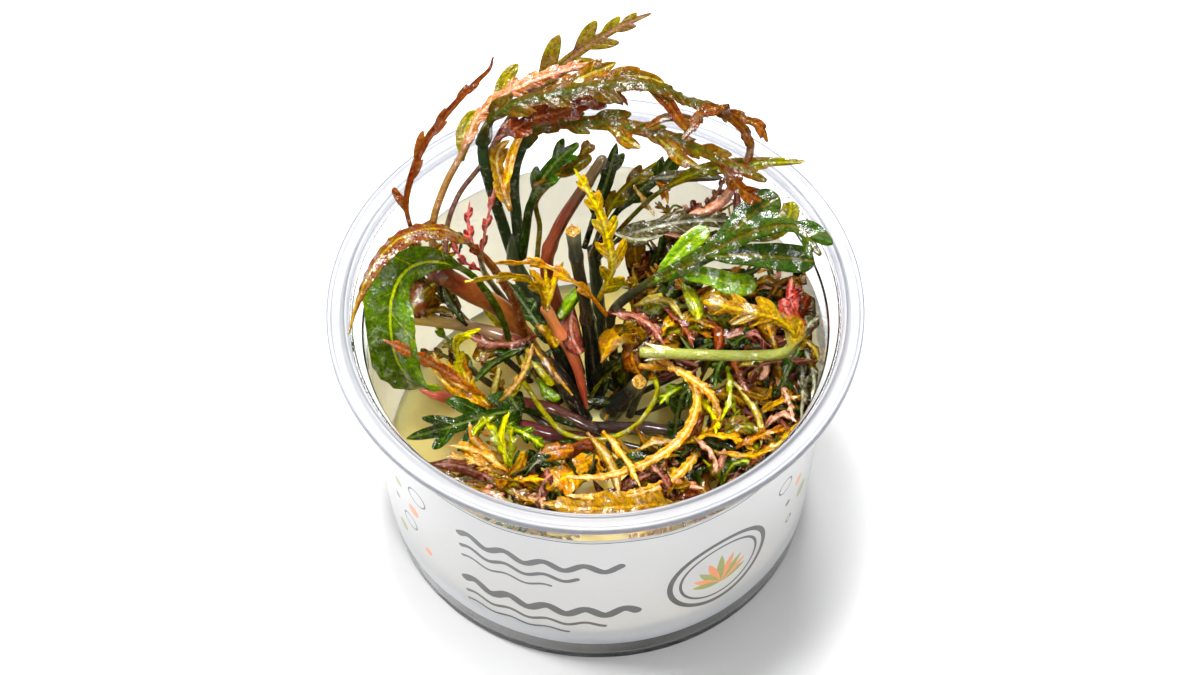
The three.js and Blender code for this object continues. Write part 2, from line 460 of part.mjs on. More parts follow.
// The small side plantlets
function makeShoots() {
  const group = new THREE.Group();
  group.add(
    shoot("shoot_pink", 0xd06a50, 0.7, [[-12, 24, PLANTED], [-17, 26.4, 24], [-21, 25, 36], [-21.8, 21.4, 46]], [
      { from: 0.95, route: [[-23.2, 21.6, 51], [-23.8, 23.2, 56], [-23.4, 24.4, 60]], face: FRONT, lobes: 3, span: 1.5 },
      { from: 0.95, route: [[-20.8, 22.8, 52], [-19.4, 24.6, 59], [-18.6, 25.4, 63]], face: FRONT, lobes: 3, span: 1.3 },
      { from: 0.75, route: [[-25.2, 22.8, 44], [-27.4, 24.2, 49.5]], face: FRONT, span: 1.6 },
    ]),
    shoot("shoot_amber", 0xd89445, 0.7, [[-14, 17.4, PLANTED], [-24, 21.4, 24], [-31, 22.4, 38], [-33.6, 21.6, 46]], [
      { from: 0.95, route: [[-34.6, 21.4, 50], [-34.8, 21.4, 56.6]], face: FRONT, lobes: 3, span: 2 },
      { from: 0.95, route: [[-36.8, 17.4, 47.4], [-38.6, 13.6, 52.6]], face: [0.4, -1, 0.2], lobes: 3, span: 1.8 },
      { from: 0.75, route: [[-28.6, 24.2, 42.6], [-26.8, 27.6, 47]], face: FRONT, span: 1.6 },
    ]),
    shoot("shoot_orange", 0xe3a638, 0.7, [[-6.4, -5.6, PLANTED], [-12.4, -10.6, 15.6], [-17, -11.4, 21.6]], [
      { from: 0.95, route: [[-22, -9.6, 23.4], [-28.4, -9.6, 24.6]], face: [0, -0.7, 0.8], span: 2.4, lobes: 2 },
      { from: 0.95, route: [[-18.6, -8.8, 26], [-21.4, -6, 29.6]], face: [0.2, -0.7, 0.8], span: 1.8, lobes: 2 },
      { from: 0.95, route: [[-16.4, -8.8, 25.6], [-16.4, -5.8, 29.4]], face: [0.4, -0.7, 0.8], span: 1.4, lobes: 2 },
      { from: 0.95, route: [[-20.4, -13, 25.4], [-25, -12.4, 28.6]], face: [0, -0.7, 0.8], span: 1.6, lobes: 2 },
      { from: 0.9, route: [[-14.8, -15, 21], [-13.6, -18.6, 21.8]], face: [0, -0.7, 0.8], stalk: 0.9, span: 0.5, lobes: 0 },
    ]),
    shoot("shoot_dark_left", 0x4a3a26, 0.7, [[-8, 3.8, PLANTED], [-14, 8.8, 14.4], [-22, 12.2, 19.6], [-27, 12.6, 25]], [
      { from: 0.9, route: [[-30.4, 12.4, 28], [-34.6, 10.6, 30.6]], face: TO_VIEWER, span: 2.4 },
      { from: 0.7, route: [[-26.8, 16.6, 23], [-31.6, 19.6, 28.4]], face: TO_VIEWER, span: 2.4 },
      { from: 0.95, route: [[-27.4, 11.6, 30.4], [-29.4, 10.2, 34.4]], face: FRONT, span: 1.6 },
      { from: 0.5, route: [[-19.4, 12.2, 21.4], [-22.4, 13.4, 26.2]], face: FRONT, span: 1.8 },
    ]),
    shoot("shoot_back_right", 0xa8602c, 0.7, [[5, 19, PLANTED], [12, 24, 24], [17, 26.4, 36], [17.6, 28.6, 44]], [
      { from: 0.95, route: [[20.8, 30.2, 48.6], [23.6, 30.6, 54], [25, 31, 58.6]], face: FRONT, lobes: 3, span: 1.6 },
      { from: 0.95, route: [[14.8, 29.4, 48.4], [11.6, 30.2, 51.4]], face: FRONT, span: 1.6 },
      { from: 0.9, route: [[22.6, 27.8, 43.6], [27.4, 27.4, 46]], face: FRONT, span: 1.6 },
      { from: 0.65, route: [[10.8, 25.8, 36], [7.4, 25.2, 38.4]], face: FRONT, span: 2 },
    ]),
    shoot("shoot_amber_mid", 0xb87a28, 0.65, [[6.4, 15.2, PLANTED], [8.6, 19.4, 24], [9.6, 21.4, 33]], [
      { from: 0.95, route: [[11.2, 22, 37.4], [12.6, 22.4, 42.4]], face: FRONT, span: 2.2 },
      { from: 0.95, route: [[7, 21.2, 36.6], [5.4, 20.6, 39.4]], face: FRONT, span: 1.8 },
      { from: 0.65, route: [[14.2, 19.8, 30], [18.6, 19.4, 33]], face: TO_VIEWER, span: 2 },
    ]),
    shoot("shoot_centre_right", 0xb0863a, 0.7, [[6.4, 10.8, PLANTED], [7, 11.2, 24], [9.6, 11.2, 33]], [
      { from: 0.95, route: [[14.6, 10.6, 36.4], [20.4, 10.4, 38.6]], face: TO_VIEWER, lobes: 3, span: 2 },
      { from: 0.95, route: [[8.2, 10.6, 37], [5.8, 10, 40.6]], face: FRONT, span: 1.7 },
      { from: 0.85, route: [[15.6, 11.4, 31.6], [22.4, 12.4, 34.6]], face: TO_VIEWER, lobes: 3, span: 1.8 },
      { from: 0.65, route: [[12.8, 10.8, 26.6], [18.4, 9.8, 29]], face: TO_VIEWER, span: 1.8 },
    ]),
    shoot("shoot_far_right", 0x7a5030, 0.7, [[10, 9, PLANTED], [17, 9.4, 17], [27, 9.4, 26], [31, 9.6, 34]], [
      { from: 0.95, route: [[34.6, 9.4, 39], [36.4, 9.4, 45.6]], face: FRONT, lobes: 3, span: 2.2 },
      { from: 0.95, route: [[28.4, 9.4, 40], [24.8, 9.6, 45]], face: FRONT, lobes: 3, span: 2 },
      { from: 0.8, route: [[33.4, 6.6, 30.4], [37, 3.4, 33.6]], face: TO_VIEWER, span: 2.2 },
      { from: 0.65, route: [[27.4, 14.8, 28.6], [27.4, 19.6, 33.6]], face: TO_VIEWER, span: 2.2 },
    ]),
    shoot("shoot_red", 0xc0403a, 0.65, [[9, 13.4, PLANTED], [20, 15.4, 19], [30.6, 15, 30], [36, 11.4, 42.4]], [
      { from: 0.95, route: [[37.6, 10, 46.4], [37.8, 9.4, 52.6]], face: FRONT, lobes: 3, span: 2 },
      { from: 0.95, route: [[39.2, 8.6, 45], [40.4, 6.4, 49.6]], face: FRONT, span: 1.6 },
      { from: 0.8, route: [[35, 15.4, 40.4], [34.4, 17.6, 45.6]], face: FRONT, span: 1.8 },
    ]),
    shoot("shoot_right_wall", 0x8a8a6a, 0.7, [[8.6, 3.8, PLANTED], [20, 1.4, 15.4], [30.4, -1.6, 22], [35.4, -3.4, 31]], [
      { from: 0.95, route: [[38.6, -3.6, 35.6], [39.8, -3.4, 40.6]], face: FRONT, span: 1.9 },
      { from: 0.95, route: [[37.6, -7.4, 32.4], [36.8, -12.4, 33.4]], face: TO_VIEWER, span: 1.7 },
      { from: 0.8, route: [[35.4, -8.6, 26.4], [34, -13.8, 28]], face: TO_VIEWER, span: 1.7 },
      { from: 0.7, route: [[32.2, -8, 21.4], [30.8, -13, 23]], face: TO_VIEWER, span: 1.9 },
    ]),
    shoot("shoot_right_mid", 0x9aa04a, 0.65, [[7.4, 0.2, PLANTED], [16, -3.6, 14.6], [25.4, -5.6, 21]], [
      { from: 0.95, route: [[26.6, -4.4, 26], [25.4, -1.4, 32]], face: FRONT, lobes: 2, span: 1.6 },
      { from: 0.95, route: [[28.8, -7.4, 25.4], [31.4, -12.4, 28]], face: TO_VIEWER, span: 1.6 },
      { from: 0.95, route: [[26.6, -10.8, 22.2], [25.6, -15.8, 23.6]], face: TO_VIEWER, span: 2.2 },
      { from: 0.7, route: [[25, -4.8, 17.6], [29.4, -6.4, 19]], face: TO_VIEWER, span: 2.2 },
    ]),
    shoot("shoot_front", 0x8a5a2a, 0.6, [[7.6, -3.6, PLANTED], [12.4, -11.4, 13.4], [16, -19, 16]], [
      { from: 0.95, route: [[19.6, -18.6, 20.6], [21.4, -20, 25]], face: TO_VIEWER, span: 1.9 },
      { from: 0.9, route: [[10.4, -21, 17.6], [4.6, -23.4, 19]], face: TO_VIEWER, span: 2.2 },
      { from: 0.6, route: [[7.4, -12.6, 15.6], [1.6, -12.8, 16.4]], face: TO_VIEWER, span: 2 },
    ]),
    shoot("shoot_front_left", 0x5a6430, 0.6, [[-3.6, -5.6, PLANTED], [-6.4, -13, 13.6], [-12, -20, 17]], [
      { from: 0.95, route: [[-17.6, -19.8, 19.6], [-22.4, -18, 22]], face: TO_VIEWER, span: 2.2 },
      { from: 0.95, route: [[-8.4, -23.6, 20], [-3.4, -25.4, 23.4]], face: TO_VIEWER, span: 2.2 },
      { from: 0.6, route: [[-3.4, -17.6, 16.2], [0.6, -18, 17.4]], face: TO_VIEWER, span: 1.8 },
    ]),
  );
  return group;
}

const plantInCup = new THREE.Group();
plantInCup.name = "hygrophila_pinnatifida_in_culture_cup";
plantInCup.add(
  makeCup(),
  makeLabel(),
  makeGel(),
  makeStems(),
  makeArchLeaves(),
  makeLeftLeaves(),
  makeLeftFrontLeaves(),
  makeBackLeaves(),
  makeFrontLeaves(),
  makeShoots(),
);

export default plantInCup;
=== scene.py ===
"""Looks of a hygrophila pinnatifida clump in its clear culture cup.

Shapes are worked out in millimetres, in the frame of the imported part, and become metres when a mesh is made.
"""

import math

import bpy
import numpy as np
from bpy.props import FloatProperty, FloatVectorProperty, IntProperty, PointerProperty
from bpy.types import Operator, Panel, PropertyGroup
from mathutils import Matrix, Vector
from mathutils.geometry import delaunay_2d_cdt


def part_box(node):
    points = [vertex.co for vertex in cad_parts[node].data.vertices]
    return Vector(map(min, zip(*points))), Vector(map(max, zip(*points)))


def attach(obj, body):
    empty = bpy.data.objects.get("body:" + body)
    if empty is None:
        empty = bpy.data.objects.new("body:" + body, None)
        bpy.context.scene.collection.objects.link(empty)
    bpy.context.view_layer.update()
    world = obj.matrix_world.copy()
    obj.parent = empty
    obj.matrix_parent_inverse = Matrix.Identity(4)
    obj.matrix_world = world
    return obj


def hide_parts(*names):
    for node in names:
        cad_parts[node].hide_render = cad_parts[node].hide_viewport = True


bl_info = {
    "name": "Plant in a culture cup",
    "version": (1, 0, 0),
    "blender": (4, 5, 0),
    "location": "View3D > Sidebar > Culture cup",
    "description": "Builds a feather-lobed aquarium plant in its clear cup with gel and a wrap label",
    "category": "Add Mesh",
}

MM = 0.001

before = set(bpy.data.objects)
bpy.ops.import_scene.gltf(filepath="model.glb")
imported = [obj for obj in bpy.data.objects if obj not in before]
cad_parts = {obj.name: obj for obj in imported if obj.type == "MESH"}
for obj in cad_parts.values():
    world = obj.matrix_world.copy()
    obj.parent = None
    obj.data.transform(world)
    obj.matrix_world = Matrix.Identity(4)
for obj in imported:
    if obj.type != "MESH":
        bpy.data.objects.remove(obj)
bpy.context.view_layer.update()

# Places worked out from the frame, in millimetres
CUP_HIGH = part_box("cup")[1]
LABEL_LOW, LABEL_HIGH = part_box("label")
GEL_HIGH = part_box("gel")[1]
RIM_RADIUS = CUP_HIGH.x / MM
CUP_HEIGHT = CUP_HIGH.z / MM
LABEL_BOTTOM = LABEL_LOW.z / MM
LABEL_TOP = LABEL_HIGH.z / MM
GEL_EDGE_TOP = GEL_HIGH.z / MM

# Driving dimensions that the frame's boxes do not give, in millimetres
RIM_INNER_RADIUS = 45.15
RIM_STEP = 1.9
RIM_THICKNESS = 1.0
BASE_RADIUS = 40.0
WALL_TAPER = 0.0773
WALL_THICKNESS = 0.8
FLOOR_THICKNESS = 1.2
GEL_TOP = GEL_EDGE_TOP - 1.0
EDGE_RADIUS = 0.25
LABEL_MIDDLE = 27
VEIN_PITCH = 3.2

# The label's faces stand this far off the wall, the outer one first
LABEL_GAPS = (0.3, 0.12)

# Leaves keep this far from the wall and the gel, and are free above the rim
MOUTH_RADIUS = RIM_INNER_RADIUS + 0.4
STEP_HEIGHT = 57.5
LEAF_CLEARANCE = 0.25
GEL_CLEARANCE = 0.15
RIM_CLEARANCE = 0.6

# Where the plastic turns hazy, its dark rings of painted shade at the flange's edges with their widths, and
# where the gel turns pale
FLANGE_RADII = (45.4, 46.2)
FLANGE_HEIGHTS = (55.6, 56.4)
FLANGE_SHADE_RINGS = ((RIM_RADIUS, 0.4), (RIM_INNER_RADIUS + 1.6, 0.16), (RIM_INNER_RADIUS + 0.2, 0.2))
# The heights over which the gel's darker foot, a painted shade, turns pale
GEL_SHADE_FADE = (6.0, 11.5)

# How finely curves are cut
ROUND_SEGMENTS = 180
CURVE_STEPS = 20
EDGE_STEPS = 3
WAVE_STEPS = 60
PETAL_STEPS = 14

# Other small numbers: shares, steps and the seed of the stems
STEM_SEED = 1
STEM_RIDGES = 0.05
# The share of the stems' pale streaks, a painted highlight on their ridges
STEM_STREAK_HIGHLIGHT = 0.4
SKIN_SCALE = 0.12
DIRECTION_STEP = 0.25
FILM_ROUGHNESS = 0.34
TINY = 1e-4

# The camera that took the photograph, fitted to the rim and the base
CAMERA_DISTANCE = 0.97588
CAMERA_ELEVATION = math.radians(53.94)
CAMERA_ROLL = math.radians(0.79)
CAMERA_SIDE = 0.00079
CAMERA_RISE = 0.0291
CAMERA_LENS = 150.0
TOWARDS_CAMERA = np.array([0, -math.cos(CAMERA_ELEVATION), math.sin(CAMERA_ELEVATION)])


def wall_radius(z):
    """The outer radius of the cup's wall at a height."""
    return BASE_RADIUS + WALL_TAPER * z


def colour(code, alpha=1.0):
    """A linear colour from a screen colour such as 0xFF8800."""
    parts = [((code >> shift) & 255) / 255 for shift in (16, 8, 0)]
    linear = [c / 12.92 if c <= 0.04045 else ((c + 0.055) / 1.055) ** 2.4 for c in parts]
    return (*linear, alpha)


class Graph:
    """Adds and joins the nodes of one material."""

    def __init__(self, name):
        self.material = bpy.data.materials.new(name)
        self.material.use_nodes = True
        self.nodes = self.material.node_tree.nodes
        self.links = self.material.node_tree.links
        self.shader = self.nodes["Principled BSDF"]

    def feed(self, socket, value):
        """Links a socket to another one, or sets its value."""
        if isinstance(value, bpy.types.NodeSocket):
            self.links.new(value, socket)
        else:
            socket.default_value = value

    def shade(self, **values):
        """Feeds inputs of the main shader, by name."""
        for key, value in values.items():
            self.feed(self.shader.inputs[key.replace("_", " ")], value)

    def node(self, kind, inputs=(), **settings):
        """A new node with its settings and inputs."""
        made = self.nodes.new(kind)
        for key, value in settings.items():
            setattr(made, key, value)
        for key, value in dict(inputs).items():
            self.feed(made.inputs[key], value)
        return made

    def math(self, operation, first, second=0.0):
        """One sum with one or two values."""
        made = self.node("ShaderNodeMath", operation=operation)
        for socket, value in zip(made.inputs, (first, second)):
            self.feed(socket, value)
        return made.outputs[0]

    def mix(self, share, first, second, blend="MIX"):
        """Two colours blended by a share from 0 to 1."""
        made = self.node("ShaderNodeMix", data_type="RGBA", blend_type=blend)
        for index, value in ((0, share), (6, first), (7, second)):
            self.feed(made.inputs[index], value)
        return made.outputs[2]

    def ramp(self, value, stops):
        """The colour at a value between stops, each a place and a colour."""
        made = self.node("ShaderNodeValToRGB", {"Fac": value})
        points = made.color_ramp.elements
        while len(points) < len(stops):
            points.new(0.5)
        for point, (place, shade) in zip(points, stops):
            point.position = place
            point.color = shade
        return made.outputs[0]

    def span(self, value, low, high, to_low=0.0, to_high=1.0):
        """A value that eases from one number to another between two limits."""
        made = self.node("ShaderNodeMapRange", interpolation_type="SMOOTHSTEP")
        for socket, number in zip(made.inputs, (value, low, high, to_low, to_high)):
            self.feed(socket, number)
        return made.outputs[0]

    def noise(self, place, scale, detail=3.0, rough=0.55):
        """Cloudy noise from 0 to 1."""
        inputs = {"Vector": place, "Scale": scale, "Detail": detail, "Roughness": rough}
        return self.node("ShaderNodeTexNoise", inputs).outputs["Fac"]

    def swing(self, value, size):
        """A value from 0 to 1 turned into a change either way, up to half of a size."""
        return self.math("MULTIPLY", self.math("SUBTRACT", value, 0.5), size)

    def deeper(self, shade):
        """A colour multiplied by itself."""
        return self.mix(1.0, shade, shade, "MULTIPLY")

    def place(self):
        """Object coordinates in millimetres."""
        coordinates = self.node("ShaderNodeTexCoord").outputs["Object"]
        made = self.node("ShaderNodeVectorMath", operation="SCALE")
        self.feed(made.inputs[0], coordinates)
        made.inputs["Scale"].default_value = 1 / MM
        return made.outputs[0]

    def attribute(self, name):
        """The three numbers of a vector that the mesh carries."""
        source = self.node("ShaderNodeAttribute", attribute_name=name)
        split = self.node("ShaderNodeSeparateXYZ", {"Vector": source.outputs["Vector"]})
        return source.outputs["Vector"], split.outputs

    def bump(self, height, depth, strength=1.0, under=None):
        """A normal from heights, where a height of 1 stands for a depth in millimetres."""
        made = self.node("ShaderNodeBump", {"Height": height, "Distance": depth * MM, "Strength": strength})
        if under is not None:
            self.feed(made.inputs["Normal"], under)
        return made.outputs[0]


# Finishes


def leaf_finish(name, base, tip, patch, vein, gloss=0.5, patches=0.45, stalk=None, streaks=0.4):
    """A wet leaf: its colour runs from base to tip along each lobe, with patches, veins and broken gloss, and
    lengthwise streaks of painted highlight on their raised ridges and painted shade in the grooves between.
    """
    g = Graph(name)
    spot = g.place()
    _, blade = g.attribute("blade")
    _, growth = g.attribute("growth")
    rib, side_vein, reach = blade[0], blade[1], blade[2]
    way, tone, edge = growth[0], growth[1], growth[2]
    coarse = g.noise(spot, 0.3, 3.0)
    fine = g.noise(spot, 1.3, 5.0, 0.65)
    run = g.math("ADD", g.math("MULTIPLY", reach, 0.7), g.math("MULTIPLY", way, 0.3))
    run = g.math("ADD", run, g.swing(coarse, 1.3))
    shade = g.ramp(run, [(0.1, colour(base)), (0.8, colour(tip))])
    spread = g.math("ADD", g.noise(spot, 0.5, 5.0, 0.62), g.swing(tone, 0.34))
    spread = g.math("ADD", spread, g.math("MULTIPLY", g.span(edge, 0.72, 1.0), 0.07))
    shade = g.mix(g.math("MULTIPLY", g.span(spread, 0.47, 0.6), patches), shade, colour(patch))
    near_rib = g.span(rib, 0.14, 0.4, 0.75, 0.0)
    near_vein = g.span(side_vein, 0.03, 0.17, 0.6, 0.0)
    veins = g.math("MAXIMUM", near_rib, near_vein)
    shade = g.mix(veins, shade, colour(vein))
    skin, parts = g.attribute("skin")
    ridges_and_painted_light = g.noise(skin, 6.0, 4.0, 0.65)
    # Lengthwise streaks: the vein colour on the raised ridges is a painted highlight, and the darker copy in
    # the grooves is painted shade
    shade = g.mix(g.span(ridges_and_painted_light, 0.52, 0.66, 0.0, streaks), shade, colour(vein))
    shade = g.mix(g.span(ridges_and_painted_light, 0.34, 0.47, streaks, 0.0), shade, g.deeper(shade))
    tint = g.node("ShaderNodeHueSaturation", {"Color": shade, "Saturation": 1.28})
    g.feed(tint.inputs["Hue"], g.math("ADD", g.swing(coarse, 0.05), 0.5))
    g.feed(tint.inputs["Value"], g.span(fine, 0.34, 0.64, 0.58, 1.22))
    shade = tint.outputs[0]
    if stalk is not None:
        # The stalk's pale streaks on its raised ridges are a painted highlight
        round_part = g.mix(g.span(ridges_and_painted_light, 0.5, 0.7, 0.0, 0.35), colour(stalk), colour(vein))
        shade = g.mix(parts[0], round_part, shade)
    water = g.span(g.noise(spot, 0.38, 4.0, 0.6), 0.51, 0.56, 0.04, gloss)
    g.shade(Base_Color=shade, Roughness=g.span(coarse, 0.38, 0.62, 0.3, 0.55), IOR=1.12)
    g.shade(Coat_Weight=water, Coat_IOR=2.0, Coat_Roughness=0.03)
    g.shade(Subsurface_Weight=0.06, Subsurface_Scale=0.5 * MM)
    g.shader.inputs["Subsurface Radius"].default_value = (1.0, 0.7, 0.25)
    dents = g.bump(veins, -0.14, 0.8)
    dents = g.bump(ridges_and_painted_light, 0.2, 0.7, dents)
    cells = g.bump(g.noise(spot, 2.6, 3.0), 0.26, 0.75, dents)
    broad = g.noise(spot, 0.8, 3.0)
    body = g.bump(broad, 0.8, 0.6, cells)
    film = g.bump(broad, 0.7, 0.8, g.bump(fine, 0.12, 0.6))
    g.shade(Normal=body, Coat_Normal=film)
    return g.material


def stem_finish(name, stops, streak_and_highlight):
    """A smooth wet stem with lengthwise streaks: pale on the raised ridges as a painted highlight, darker
    between them as painted shade. Its stops are colours along the stem.
    """
    g = Graph(name)
    skin, _ = g.attribute("skin")
    _, growth = g.attribute("growth")
    spot = g.place()
    ridges_and_painted_light = g.noise(skin, 4.0, 5.0, 0.65)
    patches = g.noise(spot, 0.35, 3.0)
    run = g.math("ADD", growth[0], g.swing(patches, 0.16))
    shade = g.ramp(run, [(place, colour(code)) for place, code in stops])
    # The pale streak colour on the raised ridges is a painted highlight, and the darker copy between them is
    # painted shade
    shade = g.mix(g.span(ridges_and_painted_light, 0.55, 0.7, 0.0, STEM_STREAK_HIGHLIGHT), shade, colour(streak_and_highlight))
    shade = g.mix(g.span(ridges_and_painted_light, 0.3, 0.5, 0.45, 0.0), shade, g.deeper(shade))
    cut = g.span(growth[2], 0.45, 0.75)
    pith = g.mix(g.span(g.noise(spot, 2.0, 3.0), 0.35, 0.65), colour(0xD2A23C), colour(0x7A5424))
    shade = g.mix(cut, shade, pith)
    g.shade(Base_Color=shade, Roughness=g.span(patches, 0.35, 0.65, 0.3, 0.5), IOR=1.25)
    water = g.span(g.noise(skin, 1.2, 3.0), 0.42, 0.54, 0.15, 1.0)
    g.shade(Coat_Weight=water, Coat_IOR=1.6, Coat_Roughness=0.05)
    ridges = g.bump(ridges_and_painted_light, 0.3, 0.8)
    g.shade(Normal=g.bump(g.noise(spot, 1.4, 3.0), 0.16, 0.5, ridges))
    return g.material


def clear_plastic(name):
    """Clear moulded plastic, hazy with turned streaks on the flange, with dark rings of painted shade at the
    flange's edges.
    """
    g = Graph(name)
    spot = g.place()
    split = g.node("ShaderNodeSeparateXYZ", {"Vector": spot}).outputs
    radius = g.math("SQRT", g.math("ADD", g.math("POWER", split[0], 2.0), g.math("POWER", split[1], 2.0)))
    turned = g.node("ShaderNodeTexNoise", {"W": radius, "Scale": 2.4, "Detail": 4.0}, noise_dimensions="1D")
    high = g.span(split[2], *FLANGE_HEIGHTS)
    flange = g.math("MULTIPLY", g.span(radius, *FLANGE_RADII), high)
    # Dark rings at the flange's edges are painted shade
    edge = 0.0
    for ring, width in FLANGE_SHADE_RINGS:
        away = g.math("ABSOLUTE", g.math("SUBTRACT", radius, ring))
        edge = g.math("MAXIMUM", edge, g.span(away, width / 2, width, 1.0, 0.0))
    edge = g.math("MULTIPLY", edge, high)
    haze = g.math("MULTIPLY", flange, g.span(turned.outputs["Fac"], 0.2, 0.8, 0.24, 0.36))
    shade = g.mix(edge, g.mix(flange, colour(0xFCFDFE), colour(0xC4C6CD)), colour(0x8A8D97))
    g.shade(Base_Color=shade, Roughness=g.math("ADD", haze, 0.02))
    g.shade(Transmission_Weight=g.math("SUBTRACT", 1.0, g.math("MULTIPLY", flange, 0.24)), IOR=1.42)
    streaks = g.bump(turned.outputs["Fac"], 0.02, 0.12)
    g.shade(Normal=g.bump(g.noise(spot, 0.12, 2.0), 0.25, 0.25, streaks))
    return g.material


def gel_finish(name):
    """Set culture gel: pale cream on top, and darker olive-grey towards its foot as painted shade."""
    g = Graph(name)
    spot = g.place()
    split = g.node("ShaderNodeSeparateXYZ", {"Vector": spot}).outputs
    cloud = g.noise(spot, 0.12, 3.0)
    top = g.mix(cloud, colour(0xFFE89A), colour(0xF6DA7C))
    # The dark foot colours are painted shade
    foot = g.mix(cloud, colour(0x3A2C0C), colour(0x241C06))
    shade = g.mix(g.span(split[2], *GEL_SHADE_FADE), foot, top)
    g.shade(Base_Color=shade, Roughness=0.18, IOR=1.22, Subsurface_Weight=1.0, Subsurface_Scale=6.0 * MM)
    g.shader.inputs["Subsurface Radius"].default_value = (1.0, 0.95, 0.6)
    g.shade(Normal=g.bump(g.noise(spot, 0.3, 3.0), 0.5, 0.5))
    return g.material


def film_finish(name, shade, worn=0.05, glow=0.6):
    """A printed film in one ink, with the faint unevenness of print."""
    g = Graph(name)
    spot = g.place()
    grain = g.noise(spot, 3.5, 2.0)
    cloud = g.noise(spot, 0.08, 2.0)
    dark = g.math("MULTIPLY", g.math("ADD", grain, cloud), worn)
    g.shade(Base_Color=g.mix(dark, shade, g.deeper(shade)), Roughness=FILM_ROUGHNESS)
    g.shade(Normal=g.bump(g.noise(spot, 0.1, 2.0), 0.3, 0.3), Coat_Weight=0.2, Coat_Roughness=0.2)
    g.shade(Subsurface_Weight=glow, Subsurface_Scale=2.0 * MM)
    g.shader.inputs["Subsurface Radius"].default_value = (1.0, 0.97, 0.9)
    return g.material


def floor_finish(name, shade):
    """A plain pale sweep."""
    g = Graph(name)
    g.shade(Base_Color=(*shade, 1.0), Roughness=0.9)
    return g.material


def tones(base, tip, patch, vein, gloss, **rest):
    """The colours of one leaf finish, how wet it is, and what else differs from the usual leaf."""
    return dict(rest, base=base, tip=tip, patch=patch, vein=vein, gloss=gloss)


